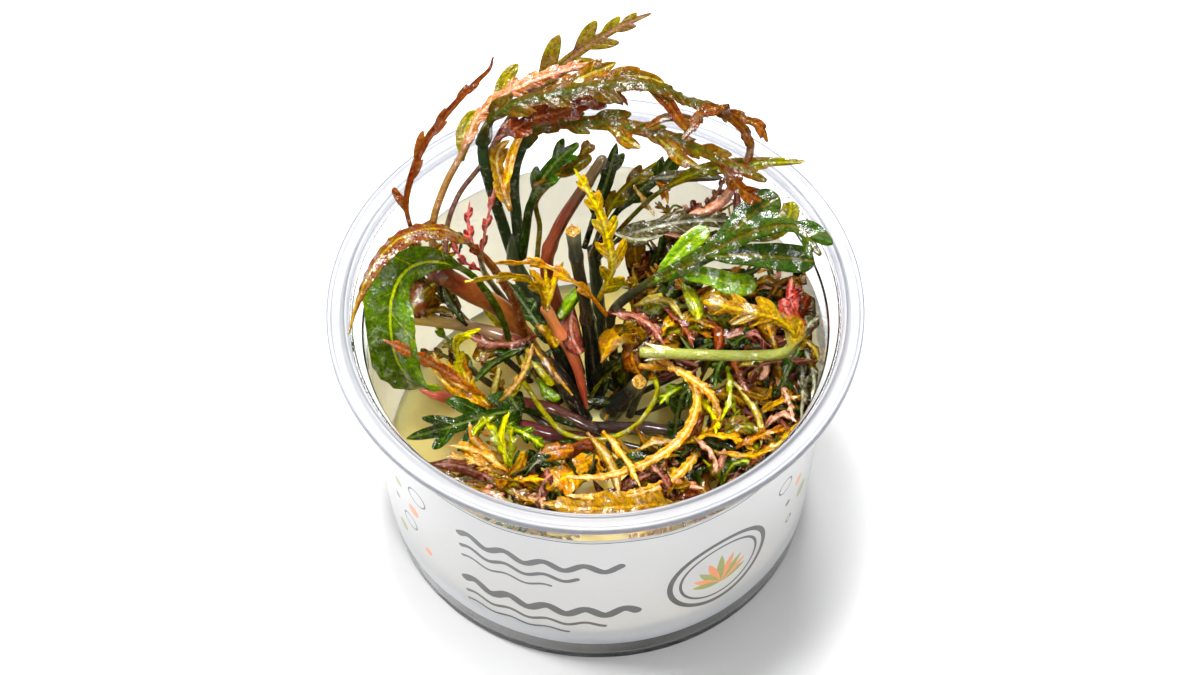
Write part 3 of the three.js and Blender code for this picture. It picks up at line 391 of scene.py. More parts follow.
LEAF_COLOURS = {
    "green": tones(0x304803, 0x5E8004, 0x142A01, 0xB8C02C, 0.7, streaks=0.2),
    "deep_green": tones(0x1E2A12, 0x345418, 0x10180C, 0x6E7C48, 1.0, streaks=0.5),
    "big_green": tones(0x40380F, 0x345010, 0x223A08, 0x524A26, 1.0, patches=0.6, stalk=0x222214,
        streaks=0.4),
    "lime": tones(0x6C7E14, 0xA2A024, 0x485C10, 0xBAB850, 0.8),
    "lime_green": tones(0x48740C, 0x7C9A16, 0x2E5208, 0x8EA030, 1.0, streaks=0.3),
    "dark": tones(0x12190A, 0x34401A, 0x080C06, 0x5E6640, 1.0),
    "arch_olive": tones(0x303A08, 0x6A5C0A, 0x783E0C, 0x3C481A, 0.7, patches=0.6, stalk=0x243418,
        streaks=0.3),
    "arch_brown": tones(0x2C340A, 0x5E440C, 0x64340E, 0x384218, 0.7, patches=0.6, stalk=0x243418,
        streaks=0.3),
    "olive": tones(0x42440E, 0x747010, 0x70401C, 0x8E8C3C, 0.9, patches=0.7),
    "olive_brown": tones(0x4E4616, 0x8E5A20, 0x70301E, 0xA0945A, 0.9, patches=0.7),
    "brown": tones(0x54381A, 0x8A6026, 0x3C2218, 0xAC8448, 0.9, patches=0.7),
    "left_brown": tones(0x76541C, 0x6A5C3C, 0x5E281A, 0x94804A, 1.0, patches=0.85, streaks=0.4),
    "purple_brown": tones(0x6A3A30, 0xA46C60, 0x40201A, 0xBE9284, 0.9, patches=0.6),
    "arch_rust": tones(0x522A18, 0x7A421C, 0x3A2C10, 0x805834, 0.9, patches=0.6, streaks=0.4),
    "wine": tones(0x5A3026, 0x8A4E3E, 0x44201A, 0x90604E, 0.9, streaks=0.5),
    "rust": tones(0x824218, 0xA66A34, 0x5A2814, 0xC89460, 0.9),
    "straw": tones(0xA08C4A, 0xC4B46C, 0x74602E, 0xDCCC94, 0.8),
    "spire": tones(0x5E443C, 0x7C7420, 0x5E4438, 0x7E6450, 0.35, patches=0.4),
    "spire_finger": tones(0x746A1C, 0x6E6A18, 0x8A7C22, 0x8C8230, 0.4),
    "maroon": tones(0x4E2A22, 0x8A4A28, 0x5E4420, 0x6E3E34, 0.6, streaks=0.5),
    "pink": tones(0xB88068, 0xCC988A, 0x94662E, 0xDCBAA6, 0.7, patches=0.5, streaks=0.5, stalk=0x7C541C),
    "pink_left": tones(0xC07848, 0xD88C78, 0xB46A40, 0xE8B49C, 0.7),
    "red": tones(0xAC5A54, 0xC87874, 0x8E4638, 0xDCA29A, 0.6, streaks=0.25),
    "orange": tones(0xB87416, 0xD09628, 0xA85420, 0xE8BC60, 0.8),
    "amber": tones(0x9A6414, 0xBC8A26, 0x744014, 0xD8B05A, 0.9, patches=0.6),
    "peach": tones(0xCE9A60, 0xDCA872, 0xBE8048, 0xECCC9C, 0.7),
    "gold": tones(0xA67C0C, 0xC8980E, 0xA8581A, 0xDCC040, 0.9, patches=0.6),
    "yellow": tones(0xA89E1A, 0xC8B424, 0x848418, 0xE8E060, 0.8),
    "loop": tones(0x8A8428, 0x9AA034, 0x7A6A24, 0xC8C468, 0.8),
    "fuzzy": tones(0xBE8A4A, 0xD6A066, 0xA47436, 0xECCA9E, 0.4),
    "wet_green": tones(0x26341C, 0x4C6636, 0x1A2412, 0xA0B08C, 1.0, streaks=0.7),
    "big_finger": tones(0x3C460C, 0x30500C, 0x1C3808, 0x645828, 1.0, patches=0.6, streaks=0.25),
    "gold_brown": tones(0x805A16, 0x9C701E, 0x5A3812, 0xBC9244, 1.0, patches=0.7, streaks=0.3),
    "rose": tones(0xC45A5E, 0xDC8084, 0xB8584C, 0xECA8A0, 0.5),
    "broad_orange": tones(0xC8821C, 0xE6A436, 0xB06A1E, 0xF4C46A, 1.0),
    "tan": tones(0x96754A, 0xB8965C, 0x684628, 0xD0B488, 0.6),
    "gold_curl": tones(0x9A7C10, 0x98701A, 0x7E4C1A, 0xC0A440, 1.0, patches=0.7, stalk=0x8A9040,
        streaks=0.6),
    "grey_green": tones(0x47432A, 0x62563A, 0x34331E, 0xA8A894, 1.0, streaks=0.5),
    "golden_olive": tones(0xA6840C, 0xC68E14, 0x80820E, 0xDCD048, 0.9, patches=0.7),
    "pale": tones(0xE2D294, 0xECD2BC, 0xD0BC7C, 0xF2E6CC, 0.5),
}


def finish_of(name):
    """The leaf finish of that name, made when it is first asked for."""
    title = "leaf_" + name
    return bpy.data.materials.get(title) or leaf_finish(title, **LEAF_COLOURS[name])


# Meshes


class Part:
    """One closed surface in millimetres, with the vectors its material reads and a finish for each face."""

    def __init__(self, points, faces, finish, blade=None, growth=None, skin=None):
        self.points = np.asarray(points, float)
        self.faces = faces
        self.finishes = finish if isinstance(finish, list) else [finish] * len(faces)
        blank = np.zeros((len(self.points), 3))
        self.maps = {
            "blade": blank if blade is None else blade,
            "growth": blank if growth is None else growth,
            "skin": blank if skin is None else skin,
        }


def facing_out(points, faces):
    """The faces, turned over where they face inwards."""
    quads = np.array([face for face in faces if len(face) == 4])
    a, b, c, d = (points[quads[:, k]] for k in range(4))
    volume = np.einsum("ij,ij->", a, np.cross(b, c)) + np.einsum("ij,ij->", a, np.cross(c, d))
    return [face[::-1] for face in faces] if volume < 0 else faces


def tube_faces(rows, columns):
    """Faces around a row of rings, with both ends closed."""
    index = np.arange(rows * columns).reshape(rows, columns)
    here, there = index[:-1], index[1:]
    quads = np.stack([here, np.roll(here, -1, 1), np.roll(there, -1, 1), there], -1).reshape(-1, 4)
    return [*quads.tolist(), index[0, ::-1].tolist(), index[-1].tolist()]


def make_piece(name, parts, replaced):
    """Joins parts into one smooth object that rides on the part's one body."""
    mesh = bpy.data.meshes.new(name)
    points = np.vstack([p.points for p in parts])
    faces = []
    finish_index = []
    places = {}
    start = 0
    for part in parts:
        faces.extend([[start + v for v in face] for face in part.faces])
        finish_index.extend(places.setdefault(finish, len(places)) for finish in part.finishes)
        start += len(part.points)
    mesh.from_pydata((points * MM).tolist(), [], faces)
    for finish in places:
        mesh.materials.append(finish)
    mesh.polygons.foreach_set("material_index", finish_index)
    mesh.polygons.foreach_set("use_smooth", [True] * len(faces))
    for key in ("blade", "growth", "skin"):
        values = np.vstack([p.maps[key] for p in parts]).astype(np.float32)
        mesh.attributes.new(key, "FLOAT_VECTOR", "POINT").data.foreach_set("vector", values.ravel())
    mesh.update()
    piece = bpy.data.objects.new(name, mesh)
    bpy.context.scene.collection.objects.link(piece)
    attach(piece, "root")
    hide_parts(replaced)


def smooth_line(points):
    """Points along a centripetal Catmull-Rom curve through given points."""
    p = np.array(points, float)
    padded = np.vstack([2 * p[0] - p[1], p, 2 * p[-1] - p[-2]])
    line = []
    for i in range(len(p) - 1):
        p0, p1, p2, p3 = padded[i : i + 4]
        d0, d1, d2 = (np.sqrt(np.linalg.norm(b - a)) for a, b in ((p0, p1), (p1, p2), (p2, p3)))
        leave = ((p1 - p0) / d0 - (p2 - p0) / (d0 + d1) + (p2 - p1) / d1) * d1
        arrive = ((p2 - p1) / d1 - (p3 - p1) / (d1 + d2) + (p3 - p2) / d2) * d1
        u = np.arange(CURVE_STEPS)[:, None] / CURVE_STEPS
        line.append(
            p1 * (2 * u**3 - 3 * u**2 + 1) + leave * (u**3 - 2 * u**2 + u)
            + p2 * (3 * u**2 - 2 * u**3) + arrive * (u**3 - u**2)
        )
    return np.vstack([*line, p[-1:]])


class Path:
    """A line that gives places and directions by the distance along it."""

    def __init__(self, points, root=0.0):
        line = smooth_line(points)
        if root:
            first = line[0] - line[1]
            line = np.vstack([line[0] + first / np.linalg.norm(first) * root, line])
        steps = np.linalg.norm(np.diff(line, axis=0), axis=1)
        self.line = line
        self.far = np.concatenate([[0], np.cumsum(steps)])
        self.length = self.far[-1]

    def at(self, distance):
        """The places at distances along the line, which runs straight on past its end."""
        distance = np.asarray(distance, float)
        inside = np.clip(distance, 0, self.length)
        place = np.stack([np.interp(inside, self.far, self.line[:, k]) for k in range(3)], -1)
        over = np.maximum(distance - self.length, 0)[..., None]
        end = self.line[-1] - self.line[-3]
        return place + over * end / np.linalg.norm(end)

    def direction(self, distance):
        """The directions of travel at distances along the line."""
        distance = np.asarray(distance)
        return unit(self.at(distance + DIRECTION_STEP) - self.at(distance - DIRECTION_STEP))


def eased(share):
    """A share from 0 to 1 that starts and ends slowly."""
    return share * share * (3 - 2 * share)


def unit(vectors):
    """Vectors scaled to a length of 1."""
    return vectors / np.maximum(np.linalg.norm(vectors, axis=-1, keepdims=True), 1e-9)


def kept_inside(points):
    """Pushes points that reach past the cup's inner wall or into the gel back inside."""
    p = points.copy()
    radius = np.hypot(p[..., 0], p[..., 1])
    inner = np.where(p[..., 2] < STEP_HEIGHT, wall_radius(p[..., 2]) - WALL_THICKNESS, MOUTH_RADIUS)
    limit = np.where(p[..., 2] < CUP_HEIGHT + RIM_CLEARANCE, inner - LEAF_CLEARANCE, 1e3)
    share = np.minimum(1.0, limit / np.maximum(radius, 1e-6))
    p[..., 0] *= share
    p[..., 1] *= share
    p[..., 2] = np.maximum(p[..., 2], GEL_TOP + GEL_CLEARANCE)
    return p


# Leaves

ACROSS = np.array([0.0, 0.25, 0.45, 0.62, 0.77, 0.89, 0.97, 1.0])
ACROSS_SMALL = np.array([0.0, 0.3, 0.6, 0.85, 1.0])
RIB_WIDTHS = (0.6, 1.1, 1.7)
LOBE_STEPS = np.array([-1.0, -0.98, -0.9, -0.75, -0.55, -0.3, 0.0, 0.3, 0.55, 0.75, 0.9, 0.98, 1.0])
LOBE_STEPS_SMALL = np.array([-1.0, -0.93, -0.6, 0.0, 0.6, 0.93, 1.0])

# Where a blade gets cross-sections: near its tip, in shares of the part that closes, and along it
TIP_STEPS = np.array([0.85, 0.6, 0.4, 0.24, 0.12, 0.05, 0.015, 0.0])
BLADE_SPACING = 1.3
BLADE_SPACING_SMALL = 2.2
STALK_SPACING = 1.0
STALK_SPACING_SMALL = 1.8
NARROWEST_STEP = 0.035

# The shares of a blade over which it widens to its full width and the round stalk turns flat
SHOULDER = 0.16
FLATTENING = 0.12

# A usual leaf, in millimetres and in shares from 0 to 1.
# stalk: share of the length that is stalk. end: share of the blade that closes the tip.
# radius: the stalk's. span: the blade's half width. thick: half its thickness. root: how deep it is rooted.
# lobes: pairs of lobes, or a list of them. waist: width between them. finger: width of one. round: bluntness.
# sweep: forward lean. alternate: how far the right lobes are moved on. uneven: spread of their reach.
# fold, curl, wave, twist, lobe_bend: bends. quilt: rise between the veins. margin: unevenness of the edge.
# rib: the midrib's radius as a share of the stalk's. peak, taper: shape of a blade without lobes.
LEAF_DEFAULTS = dict(
    stalk=0.3, radius=0.5, span=2.5, lobes=5, waist=0.3, finger=0.62, sweep=0.9, round=2.4, fold=0.15,
    curl=0.0, wave=0.12, twist=0.0, end=0.2, thick=0.16, root=2.2, fine=True, rib=0.55, alternate=0.35,
    uneven=0.18, quilt=0.1, lobe_bend=0.3, margin=0.05, peak=1.0, taper=0.0,
)


def envelope(share, peak=1.0):
    """How wide a blade is at a share of its length, from 0 to 1. A larger peak moves its widest place on."""
    return np.sin(np.pi * (0.17 + 0.78 * np.clip(share, 0, 1) ** peak)) ** 0.7


def lobe_list(shape, blade, random):
    """Every lobe: its side, place along the blade, reach and half width in millimetres, bend and tone."""
    lobes = []
    if not isinstance(shape["lobes"], int):
        for side, place, reach, half in shape["lobes"]:
            bend, tone = random.normal(0, shape["lobe_bend"]), random.uniform(-0.5, 0.5)
            lobes.append((side, place * blade, reach, half, bend, tone))
        return lobes
    count = shape["lobes"]
    pitch = blade / (count + 0.35)
    for k in range(count):
        for side in (-1, 1):
            place = k + 0.45 + shape["alternate"] * (0.5 if side > 0 else 0)
            place = (place + random.uniform(-0.06, 0.06)) * pitch
            reach = shape["span"] * float(envelope(place / blade)) * random.uniform(1 - shape["uneven"], 1.05)
            bend, tone = random.normal(0, shape["lobe_bend"]), random.uniform(-0.5, 0.5)
            if place < blade * 0.96:
                lobes.append((side, place, reach, shape["finger"] * pitch / 2, bend, tone))
    return lobes


def half_widths(shape, blade, lobes, side, places):
    """One side of the blade at places along it: width, narrow width, side vein, bend, tone and lean."""
    share = places / blade
    base = shape["waist"] * shape["span"] * envelope(share)
    if shape["lobes"] == 0:
        base = shape["span"] * envelope(share, shape["peak"]) * (1 - shape["taper"] * share)
    start = eased(np.clip(share / SHOULDER, 0, 1))
    low = shape["radius"] * 0.9
    base = low + (np.maximum(base, low) - low) * start
    tip = np.clip((share - (1 - shape["end"])) / shape["end"], 0, 1)
    closing = np.sqrt(np.maximum(1 - tip**2.2, 0))
    narrow = base * closing
    width = narrow * (1 + shape["margin"] * np.sin(places * 4.1 + side) * np.sin(places * 1.7))
    gap = np.full(len(places), 9.0)
    nearest = np.full(len(places), 1.2)
    bend = np.zeros(len(places))
    tone = np.zeros(len(places))
    for lobe_side, centre, reach, half, lobe_bend, lobe_tone in lobes:
        if lobe_side != side:
            continue
        x = np.abs(places - centre) / half
        rise = np.maximum(1 - np.minimum(x, 1) ** shape["round"], 0) ** (1 / shape["round"])
        width = np.maximum(width, narrow + (reach - narrow) * rise)
        gap = np.minimum(gap, np.abs(places - centre))
        closer = x < nearest
        nearest = np.where(closer, x, nearest)
        bend = np.where(closer, lobe_bend, bend)
        tone = np.where(closer, lobe_tone, tone)
    if shape["lobes"] == 0:
        gap = np.abs((places + (0.8 if side > 0 else 0)) % VEIN_PITCH - VEIN_PITCH / 2)
    lean = np.full(len(places), float(np.broadcast_to(shape["sweep"], 2)[int(side > 0)]))
    return np.maximum(width, 0.05), narrow, gap / np.hypot(1, lean), bend, tone, lean


def blade_places(shape, blade, lobes):
    """The places along a blade that get a cross-section."""
    steps = LOBE_STEPS if shape["fine"] else LOBE_STEPS_SMALL
    places = [0.0, blade * 0.05, blade * 0.1, blade * SHOULDER]
    for _, centre, _, half, *_ in lobes:
        places.extend(centre + steps * half)
    spacing = BLADE_SPACING if shape["fine"] else BLADE_SPACING_SMALL
    places.extend(np.arange(spacing, blade, spacing))
    places.extend(blade * (1 - shape["end"] * TIP_STEPS))
    places = np.unique(np.round(np.clip(places, 0, blade), 3))
    wide = np.concatenate([[True], np.diff(places) > NARROWEST_STEP])
    return places[wide]


def leaf_part(finish, **given):
    """A leaf as one closed surface: a round stalk that widens into a lobed blade with a raised midrib."""
    shape = {**LEAF_DEFAULTS, **given}
    random = np.random.default_rng(shape["seed"])
    path = Path(shape["route"], shape["root"])
    length = path.length
    stalk = length * shape["stalk"]
    blade = length - stalk
    lobes = lobe_list(shape, blade, random)
    places = blade_places(shape, blade, lobes)
    stalk_places = np.arange(0, stalk, STALK_SPACING if shape["fine"] else STALK_SPACING_SMALL)
    radius = shape["radius"]
    stalk_row = [np.full(len(stalk_places), value) for value in (radius, radius, 9.0, 0.0, 0.0, 0.0)]
    left, right = (
        [np.concatenate(pair) for pair in zip(stalk_row, half_widths(shape, blade, lobes, side, places))]
        for side in (-1, 1)
    )
    along = np.concatenate([stalk_places, stalk + places])
    share = along / length
    flat = eased(np.clip((along - stalk) / max(blade * FLATTENING, 1e-6), 0, 1))
    rib = radius + (radius * shape["rib"] - radius) * flat
    rib = rib + (0.12 - rib) * np.clip((along - stalk) / blade, 0, 1) * flat
    middle = path.at(along)
    tangent = path.direction(along)
    faces = np.array(shape["face"] if np.ndim(shape["face"]) == 2 else [shape["face"]] * 2, float)
    keys = np.linspace(0, 1, len(faces))
    up = np.stack([np.interp(share, keys, faces[:, k]) for k in range(3)], -1)
    side = unit(np.cross(tangent, up))
    up = unit(np.cross(side, tangent))
    turn = shape["twist"] * share + 0.12 * np.sin(6 * share + random.uniform(0, 6))
    side, up = (
        side * np.cos(turn)[:, None] + up * np.sin(turn)[:, None],
        up * np.cos(turn)[:, None] - side * np.sin(turn)[:, None],
    )
    steps = ACROSS if shape["fine"] else ACROSS_SMALL
    halves = []
    for widths in (left[0], right[0]):
        out = steps * widths[:, None]
        for k, widths_of_rib in enumerate(RIB_WIDTHS[: len(steps) - 2], start=1):
            out[:, k] = np.minimum(out[:, k], np.maximum(rib * widths_of_rib, 0.02 * k))
        halves.append(out)
    n = len(steps)
    top = np.concatenate([-halves[0][:, ::-1], halves[1][:, 1:]], 1)
    under = np.concatenate([halves[1][:, -2:0:-1], halves[1][:, :1] * 0, -halves[0][:, 1:-1]], 1)
    across = np.concatenate([top, under], 1)
    is_top = np.concatenate([np.ones(2 * n - 1), np.zeros(2 * n - 3)])[None, :]
    width, narrow, gap, bend, lobe_tone, lean = (
        np.where(across < 0, one[:, None], other[:, None]) for one, other in zip(left, right)
    )
    a = np.abs(across)
    v = np.clip(a / width, 0, 1)
    circle = radius * np.sqrt(np.maximum(1 - v**2, 0))
    hump = np.sqrt(np.maximum(1 - (a / rib[:, None]) ** 2, 0)) * rib[:, None]
    thin = shape["thick"] * np.sqrt(np.maximum(1 - v**4, 0))
    bed = flat[:, None]
    above = circle * (1 - bed) + bed * (thin + hump * 0.3)
    below = circle * (1 - bed) + bed * (thin + hump)
    span = max(shape["span"], 0.5)
    phase = random.uniform(0, 6.28, 3)
    ripple = np.sin(along[:, None] * 2.1 + phase[0] + np.sign(across))
    ripple = ripple + 0.6 * np.sin(along[:, None] * 4.7 + phase[1])
    lift = shape["fold"] * a + shape["curl"] * a * a / span + shape["wave"] * ripple * a / span
    outside = np.maximum(a - narrow, 0)
    lift = lift + bend * outside
    lift = lift + shape["quilt"] * np.clip(gap, 0, 0.8) * np.sin(np.pi * v) * (a > rib[:, None])
    height = bed * lift + np.where(is_top > 0, above, -below)
    forward = lean * a * (1 - 0.012 * a) * bed
    shifted = along[:, None] + forward
    points = 0.35 * (middle[:, None, :] + tangent[:, None, :] * forward[..., None]) + 0.65 * path.at(shifted)
    points = points + side[:, None, :] * across[..., None] + up[:, None, :] * height[..., None]
    points = kept_inside(points)
    rows, columns = across.shape
    whole = np.ones((rows, columns))
    reach = np.clip(a / span, 0, 1) * bed
    blade_map = np.stack([a + (1 - bed) * 0.6, gap, reach], -1)
    tone = random.uniform(0.2, 0.8)
    tone_here = whole * tone + lobe_tone * np.clip(outside, 0, 1)
    growth = np.stack([share[:, None] * whole, tone_here, v * bed], -1)
    skin = np.stack([bed * whole, v, along[:, None] * whole * SKIN_SCALE], -1)
    faces = tube_faces(rows, columns)
    points = points.reshape(-1, 3)
    maps = (values.reshape(-1, 3) for values in (blade_map, growth, skin))
    return Part(points, facing_out(points, faces), finish, *maps)


# Stems

STEM_SIDES = 20

# How far apart a stem's rings stand, how much a node swells and how long it is
STEM_SPACING = 0.8
NODE_SWELLING = 0.2
NODE_LENGTH = 1.3

# The rings that close a stem: their size, and how far past its end they stand in millimetres
STEM_ENDS = {
    "cut": ((0.93, 0.16), (0.8, 0.2), (0.55, 0.08), (0.25, -0.05), (0.04, -0.06)),
    "point": ((0.82, 0.7), (0.6, 1.5), (0.36, 2.3), (0.15, 2.9), (0.03, 3.1)),
    "dome": ((0.9, 0.35), (0.7, 0.7), (0.4, 0.95), (0.05, 1.05)),
}


def stem_part(finish, route, radii, nodes, end, root=3.0, sides=STEM_SIDES):
    """A stem as one closed surface. radii run along it, nodes are shares of its length with a swelling."""
    random = np.random.default_rng(STEM_SEED)
    path = Path(route, root)
    count = max(8, int(path.length / STEM_SPACING))
    along = np.linspace(0, path.length, count)
    share = along / path.length
    radius = np.interp(share, np.linspace(0, 1, len(radii)), radii)
    for node in nodes:
        radius = radius * (1 + NODE_SWELLING * np.exp(-(((share - node) * path.length / NODE_LENGTH) ** 2)))
    radius = radius * (1 + 0.03 * np.sin(share * 23 + random.uniform(0, 6)))
    angle = np.linspace(0, 2 * math.pi, sides, endpoint=False)
    tangent = path.direction(along)
    across = unit(np.cross(tangent, np.array([0.13, 0.98, 0.11])))
    upward = unit(np.cross(across, tangent))
    swell = 1 + STEM_RIDGES * np.cos(4 * angle + 0.7)
    swell = swell + 0.4 * STEM_RIDGES * np.cos(7 * angle + random.uniform(0, 6))
    ring = radius[:, None] * swell[None, :]
    spokes = across[:, None, :] * np.cos(angle)[None, :, None]
    spokes = spokes + upward[:, None, :] * np.sin(angle)[None, :, None]
    rows = [path.at(along)[:, None, :] + ring[..., None] * spokes]
    last, onward = path.at(path.length), tangent[-1]
    spoke = across[-1] * np.cos(angle)[:, None] + upward[-1] * np.sin(angle)[:, None]
    if end == "torn":
        teeth = 0.25 + 0.9 * np.abs(np.sin(angle * 3.5 + 0.4)) ** 2 * random.uniform(0.5, 1.3, sides)
        teeth = teeth * radii[-1]
        tail = [(1.0, teeth * 0.55), (0.84, teeth * 0.35), (0.66, -0.5), (0.3, -0.8), (0.04, -0.8)]
    else:
        tail = STEM_ENDS[end]
    for size, push in tail:
        push = np.broadcast_to(np.asarray(push, float), (sides,))
        place = last + spoke * (ring[-1] * size)[:, None] + onward * push[:, None]
        rows.append(place[None])
    points = np.concatenate(rows, 0)
    total = len(points)
    cut = np.zeros((total, sides))
    if end in ("torn", "cut"):
        cut[count:] = 1.0
    share = np.concatenate([share, np.ones(total - count)])
    far = np.concatenate([along, np.full(total - count, path.length)])
    whole = np.ones((total, sides))
    growth = np.stack([share[:, None] * whole, whole * 0.5, cut], -1).reshape(-1, 3)
    skin = np.stack([whole * np.cos(angle), whole * np.sin(angle), far[:, None] * whole * SKIN_SCALE], -1)
    faces = tube_faces(total, sides)
    points = points.reshape(-1, 3)
    return Part(points, facing_out(points, faces), finish, growth=growth, skin=skin.reshape(-1, 3))


def stem_piece(name, spec):
    """One stem that stands in the gel, in place of its plain solid."""
    words = {key: value for key, value in spec.items() if key not in ("slot", "stops", "streak_and_highlight")}
    finish = stem_finish(name + "_skin", spec["stops"], spec["streak_and_highlight"])
    make_piece(name + "_grown", [stem_part(finish, **words)], name)


def leaf_piece(name, spec):
    """One large leaf, with the small ones that grow on it, in place of its plain solid."""
    words = {key: value for key, value in spec.items() if key not in ("slot", "finish", "more")}
    parts = [leaf_part(finish_of(spec["finish"]), **words)]
    for extra in spec.get("more", ()):
        words = {key: value for key, value in extra.items() if key != "finish"}
        parts.append(leaf_part(finish_of(extra["finish"]), **words))
    parts += small_leaves(name, np.random.default_rng(spec["seed"]))
    make_piece(name + "_grown", parts, name)


SHOOT_STOPS = ((0, 0x1E1A10), (1, 0x5A4424))
# The side shoots' pale streak colour, a painted highlight on their ridges
SHOOT_STREAK_HIGHLIGHT = 0x8A7A50
# Mostly dark finishes for the fill leaves deep in the clump: partly their own colours, partly painted shade
FILL_FINISHES = ("dark", "purple_brown", "brown", "deep_green", "olive_brown")
SHOOT_RADII = (1, 0.9, 0.75)
SHOOT_NODES = (0.4, 0.7)
SHOOT_SIDES = 12
SHOOT_LEAF = dict(
    stalk=0.12, radius=0.28, lobes=3, span=1.6, fold=0.1, root=0.0, fine=False, finger=0.6, waist=0.28,
    sweep=1.0, wave=0.3, thick=0.13, quilt=0.05,
)


def bowed(start, tip, bow):
    """A route from a start to a tip that bends sideways, as the viewer sees it, by a bow in millimetres."""
    start, tip = np.array(start, float), np.array(tip, float)
    side = unit(np.cross(tip - start, TOWARDS_CAMERA))
    return [tuple(start + (tip - start) * t + side * bow * 4 * t * (1 - t)) for t in (0, 0.3, 0.65, 1)]


def new_seed(random):
    """A seed for one leaf."""
    return int(random.integers(1e6))


def to_viewer(random, spread):
    """A direction towards the viewer, turned a little to one side."""
    return tuple(unit(np.array([random.normal(0, spread), -0.6, 0.8])))


def small_leaves(name, random):
    """The small leaves that the photograph shows on one piece."""
    parts = []
    for finish, span, lobes, start, tip, bow in SMALL_LEAVES.get(name, ()):
        face = to_viewer(random, 0.35)
        words = {**SHOOT_LEAF, "stalk": 0.05, "span": span, "lobes": lobes, "waist": 0.45, "end": 0.25}
        words.update(route=bowed(start, tip, bow), face=face, curl=random.uniform(-0.2, 0.4), root=1.5)
        words.update(twist=random.uniform(-0.5, 0.5), lobe_bend=0.5, radius=min(0.35, span * 0.5))
        parts.append(leaf_part(finish_of(finish), seed=new_seed(random), **words))
    return parts


def shoot_piece(name, spec, extra_share):
    """A small side plantlet: its own leaves, and thinner ones that fill the room between their tips."""
    random = np.random.default_rng(sum(map(ord, name)))
    path = Path(spec["route"])
    skin = stem_finish(name + "_skin", SHOOT_STOPS, SHOOT_STREAK_HIGHLIGHT)
    radii = [spec["radius"] * share for share in SHOOT_RADII]
    parts = [stem_part(skin, spec["route"], radii, SHOOT_NODES, "dome", sides=SHOOT_SIDES)]
    finishes = spec["finishes"]
    tips = []
    for k, given in enumerate(spec["leaves"]):
        words = {**SHOOT_LEAF, **given}
        first = path.at(words.pop("start") * path.length)
        tips.append(np.array(words["route"][-1], float))
        words["route"] = (tuple(first), *words["route"])
        words["lobes"] = words["lobes"] + 2 if words["lobes"] else 0
        shade = finishes[k % len(finishes)]
        parts.append(leaf_part(finish_of(shade), seed=new_seed(random), **words))
    parts += small_leaves(name, random)
    tips += [np.array(row[4], float) for row in SMALL_LEAVES.get(name, ())]
    along = [path.at(share * path.length) for share in (0.35, 0.6, 0.85, 1.0)]
    for k in range(int(round(spec["extras"] * extra_share))):
        share = random.dirichlet((0.9, 0.9, 0.9))
        chosen = random.choice(len(tips), 3, replace=len(tips) < 3)
        tip = share @ np.array([tips[pick] for pick in chosen]) + random.normal(0, spec["spread"], 3)
        tip = tip - TOWARDS_CAMERA * random.uniform(1, 5)
        first = along[int(random.integers(4))]
        reach = np.linalg.norm(tip - first)
        middle = (first + tip) / 2 + random.normal(0, 0.12 * reach, 3) + np.array([0, 0, 0.1 * reach])
        turned = tip + random.normal(0, 1.8, 3) + np.array([0, 0, -0.8])
        face = to_viewer(random, 0.5)
        words = {**SHOOT_LEAF, "lobes": int(random.integers(0, 4)), "span": random.uniform(1.2, 2.4)}
        # Fill leaves take mostly dark finishes, partly as painted shade for their place deep in the clump
        shade = FILL_FINISHES[k % len(FILL_FINISHES)]
        if k % 3 == 0:
            shade = finishes[int(random.integers(len(finishes)))]
        route = (tuple(first), tuple(middle), tuple(tip), tuple(turned))
        words.update(route=route, face=face)
        words.update(twist=random.uniform(-2.2, 2.2), curl=random.uniform(-0.4, 0.7))
        parts.append(leaf_part(finish_of(shade), seed=new_seed(random), **words))
    make_piece(name + "_grown", parts, name)


# The cup, the label and the gel


# Small sizes of the cup's section, and the gap round the gel
AXIS_RADIUS = 0.02
FOOT_RISE = 0.5
FLARE_DEPTH = 6
FLANGE_DIP = 0.22
GEL_GAP = 0.05


def rounded(outline):
    """An outline of [radius, height] pairs with each inner corner turned into a short arc."""
    p = np.array(outline, float)
    made = [p[0]]
    for before, corner, after in zip(p[:-2], p[1:-1], p[2:]):
        back, on = before - corner, after - corner
        cut = min(EDGE_RADIUS, np.linalg.norm(back) * 0.45, np.linalg.norm(on) * 0.45)
        first = corner + unit(back) * cut
        last = corner + unit(on) * cut
        for t in np.linspace(0, 1, EDGE_STEPS + 1):
            made.append(first * (1 - t) ** 2 + corner * 2 * t * (1 - t) + last * t**2)
    return np.array([*made, p[-1]])


def turned_part(outline, finish, unevenness=None):
    """A solid turned about the cup's axis from an outline that starts and ends close to the axis."""
    angle = np.linspace(0, 2 * math.pi, ROUND_SEGMENTS, endpoint=False)
    radius, height = np.maximum(outline[:, 0], AXIS_RADIUS)[:, None], outline[:, 1][:, None]
    x, y = radius * np.cos(angle), radius * np.sin(angle)
    z = height + 0 * angle
    if unevenness is not None:
        z = z + unevenness(x, y, z)
    points = np.stack([x, y, z], -1).reshape(-1, 3)
    faces = tube_faces(len(outline), ROUND_SEGMENTS)
    return Part(points, facing_out(points, faces), finish)


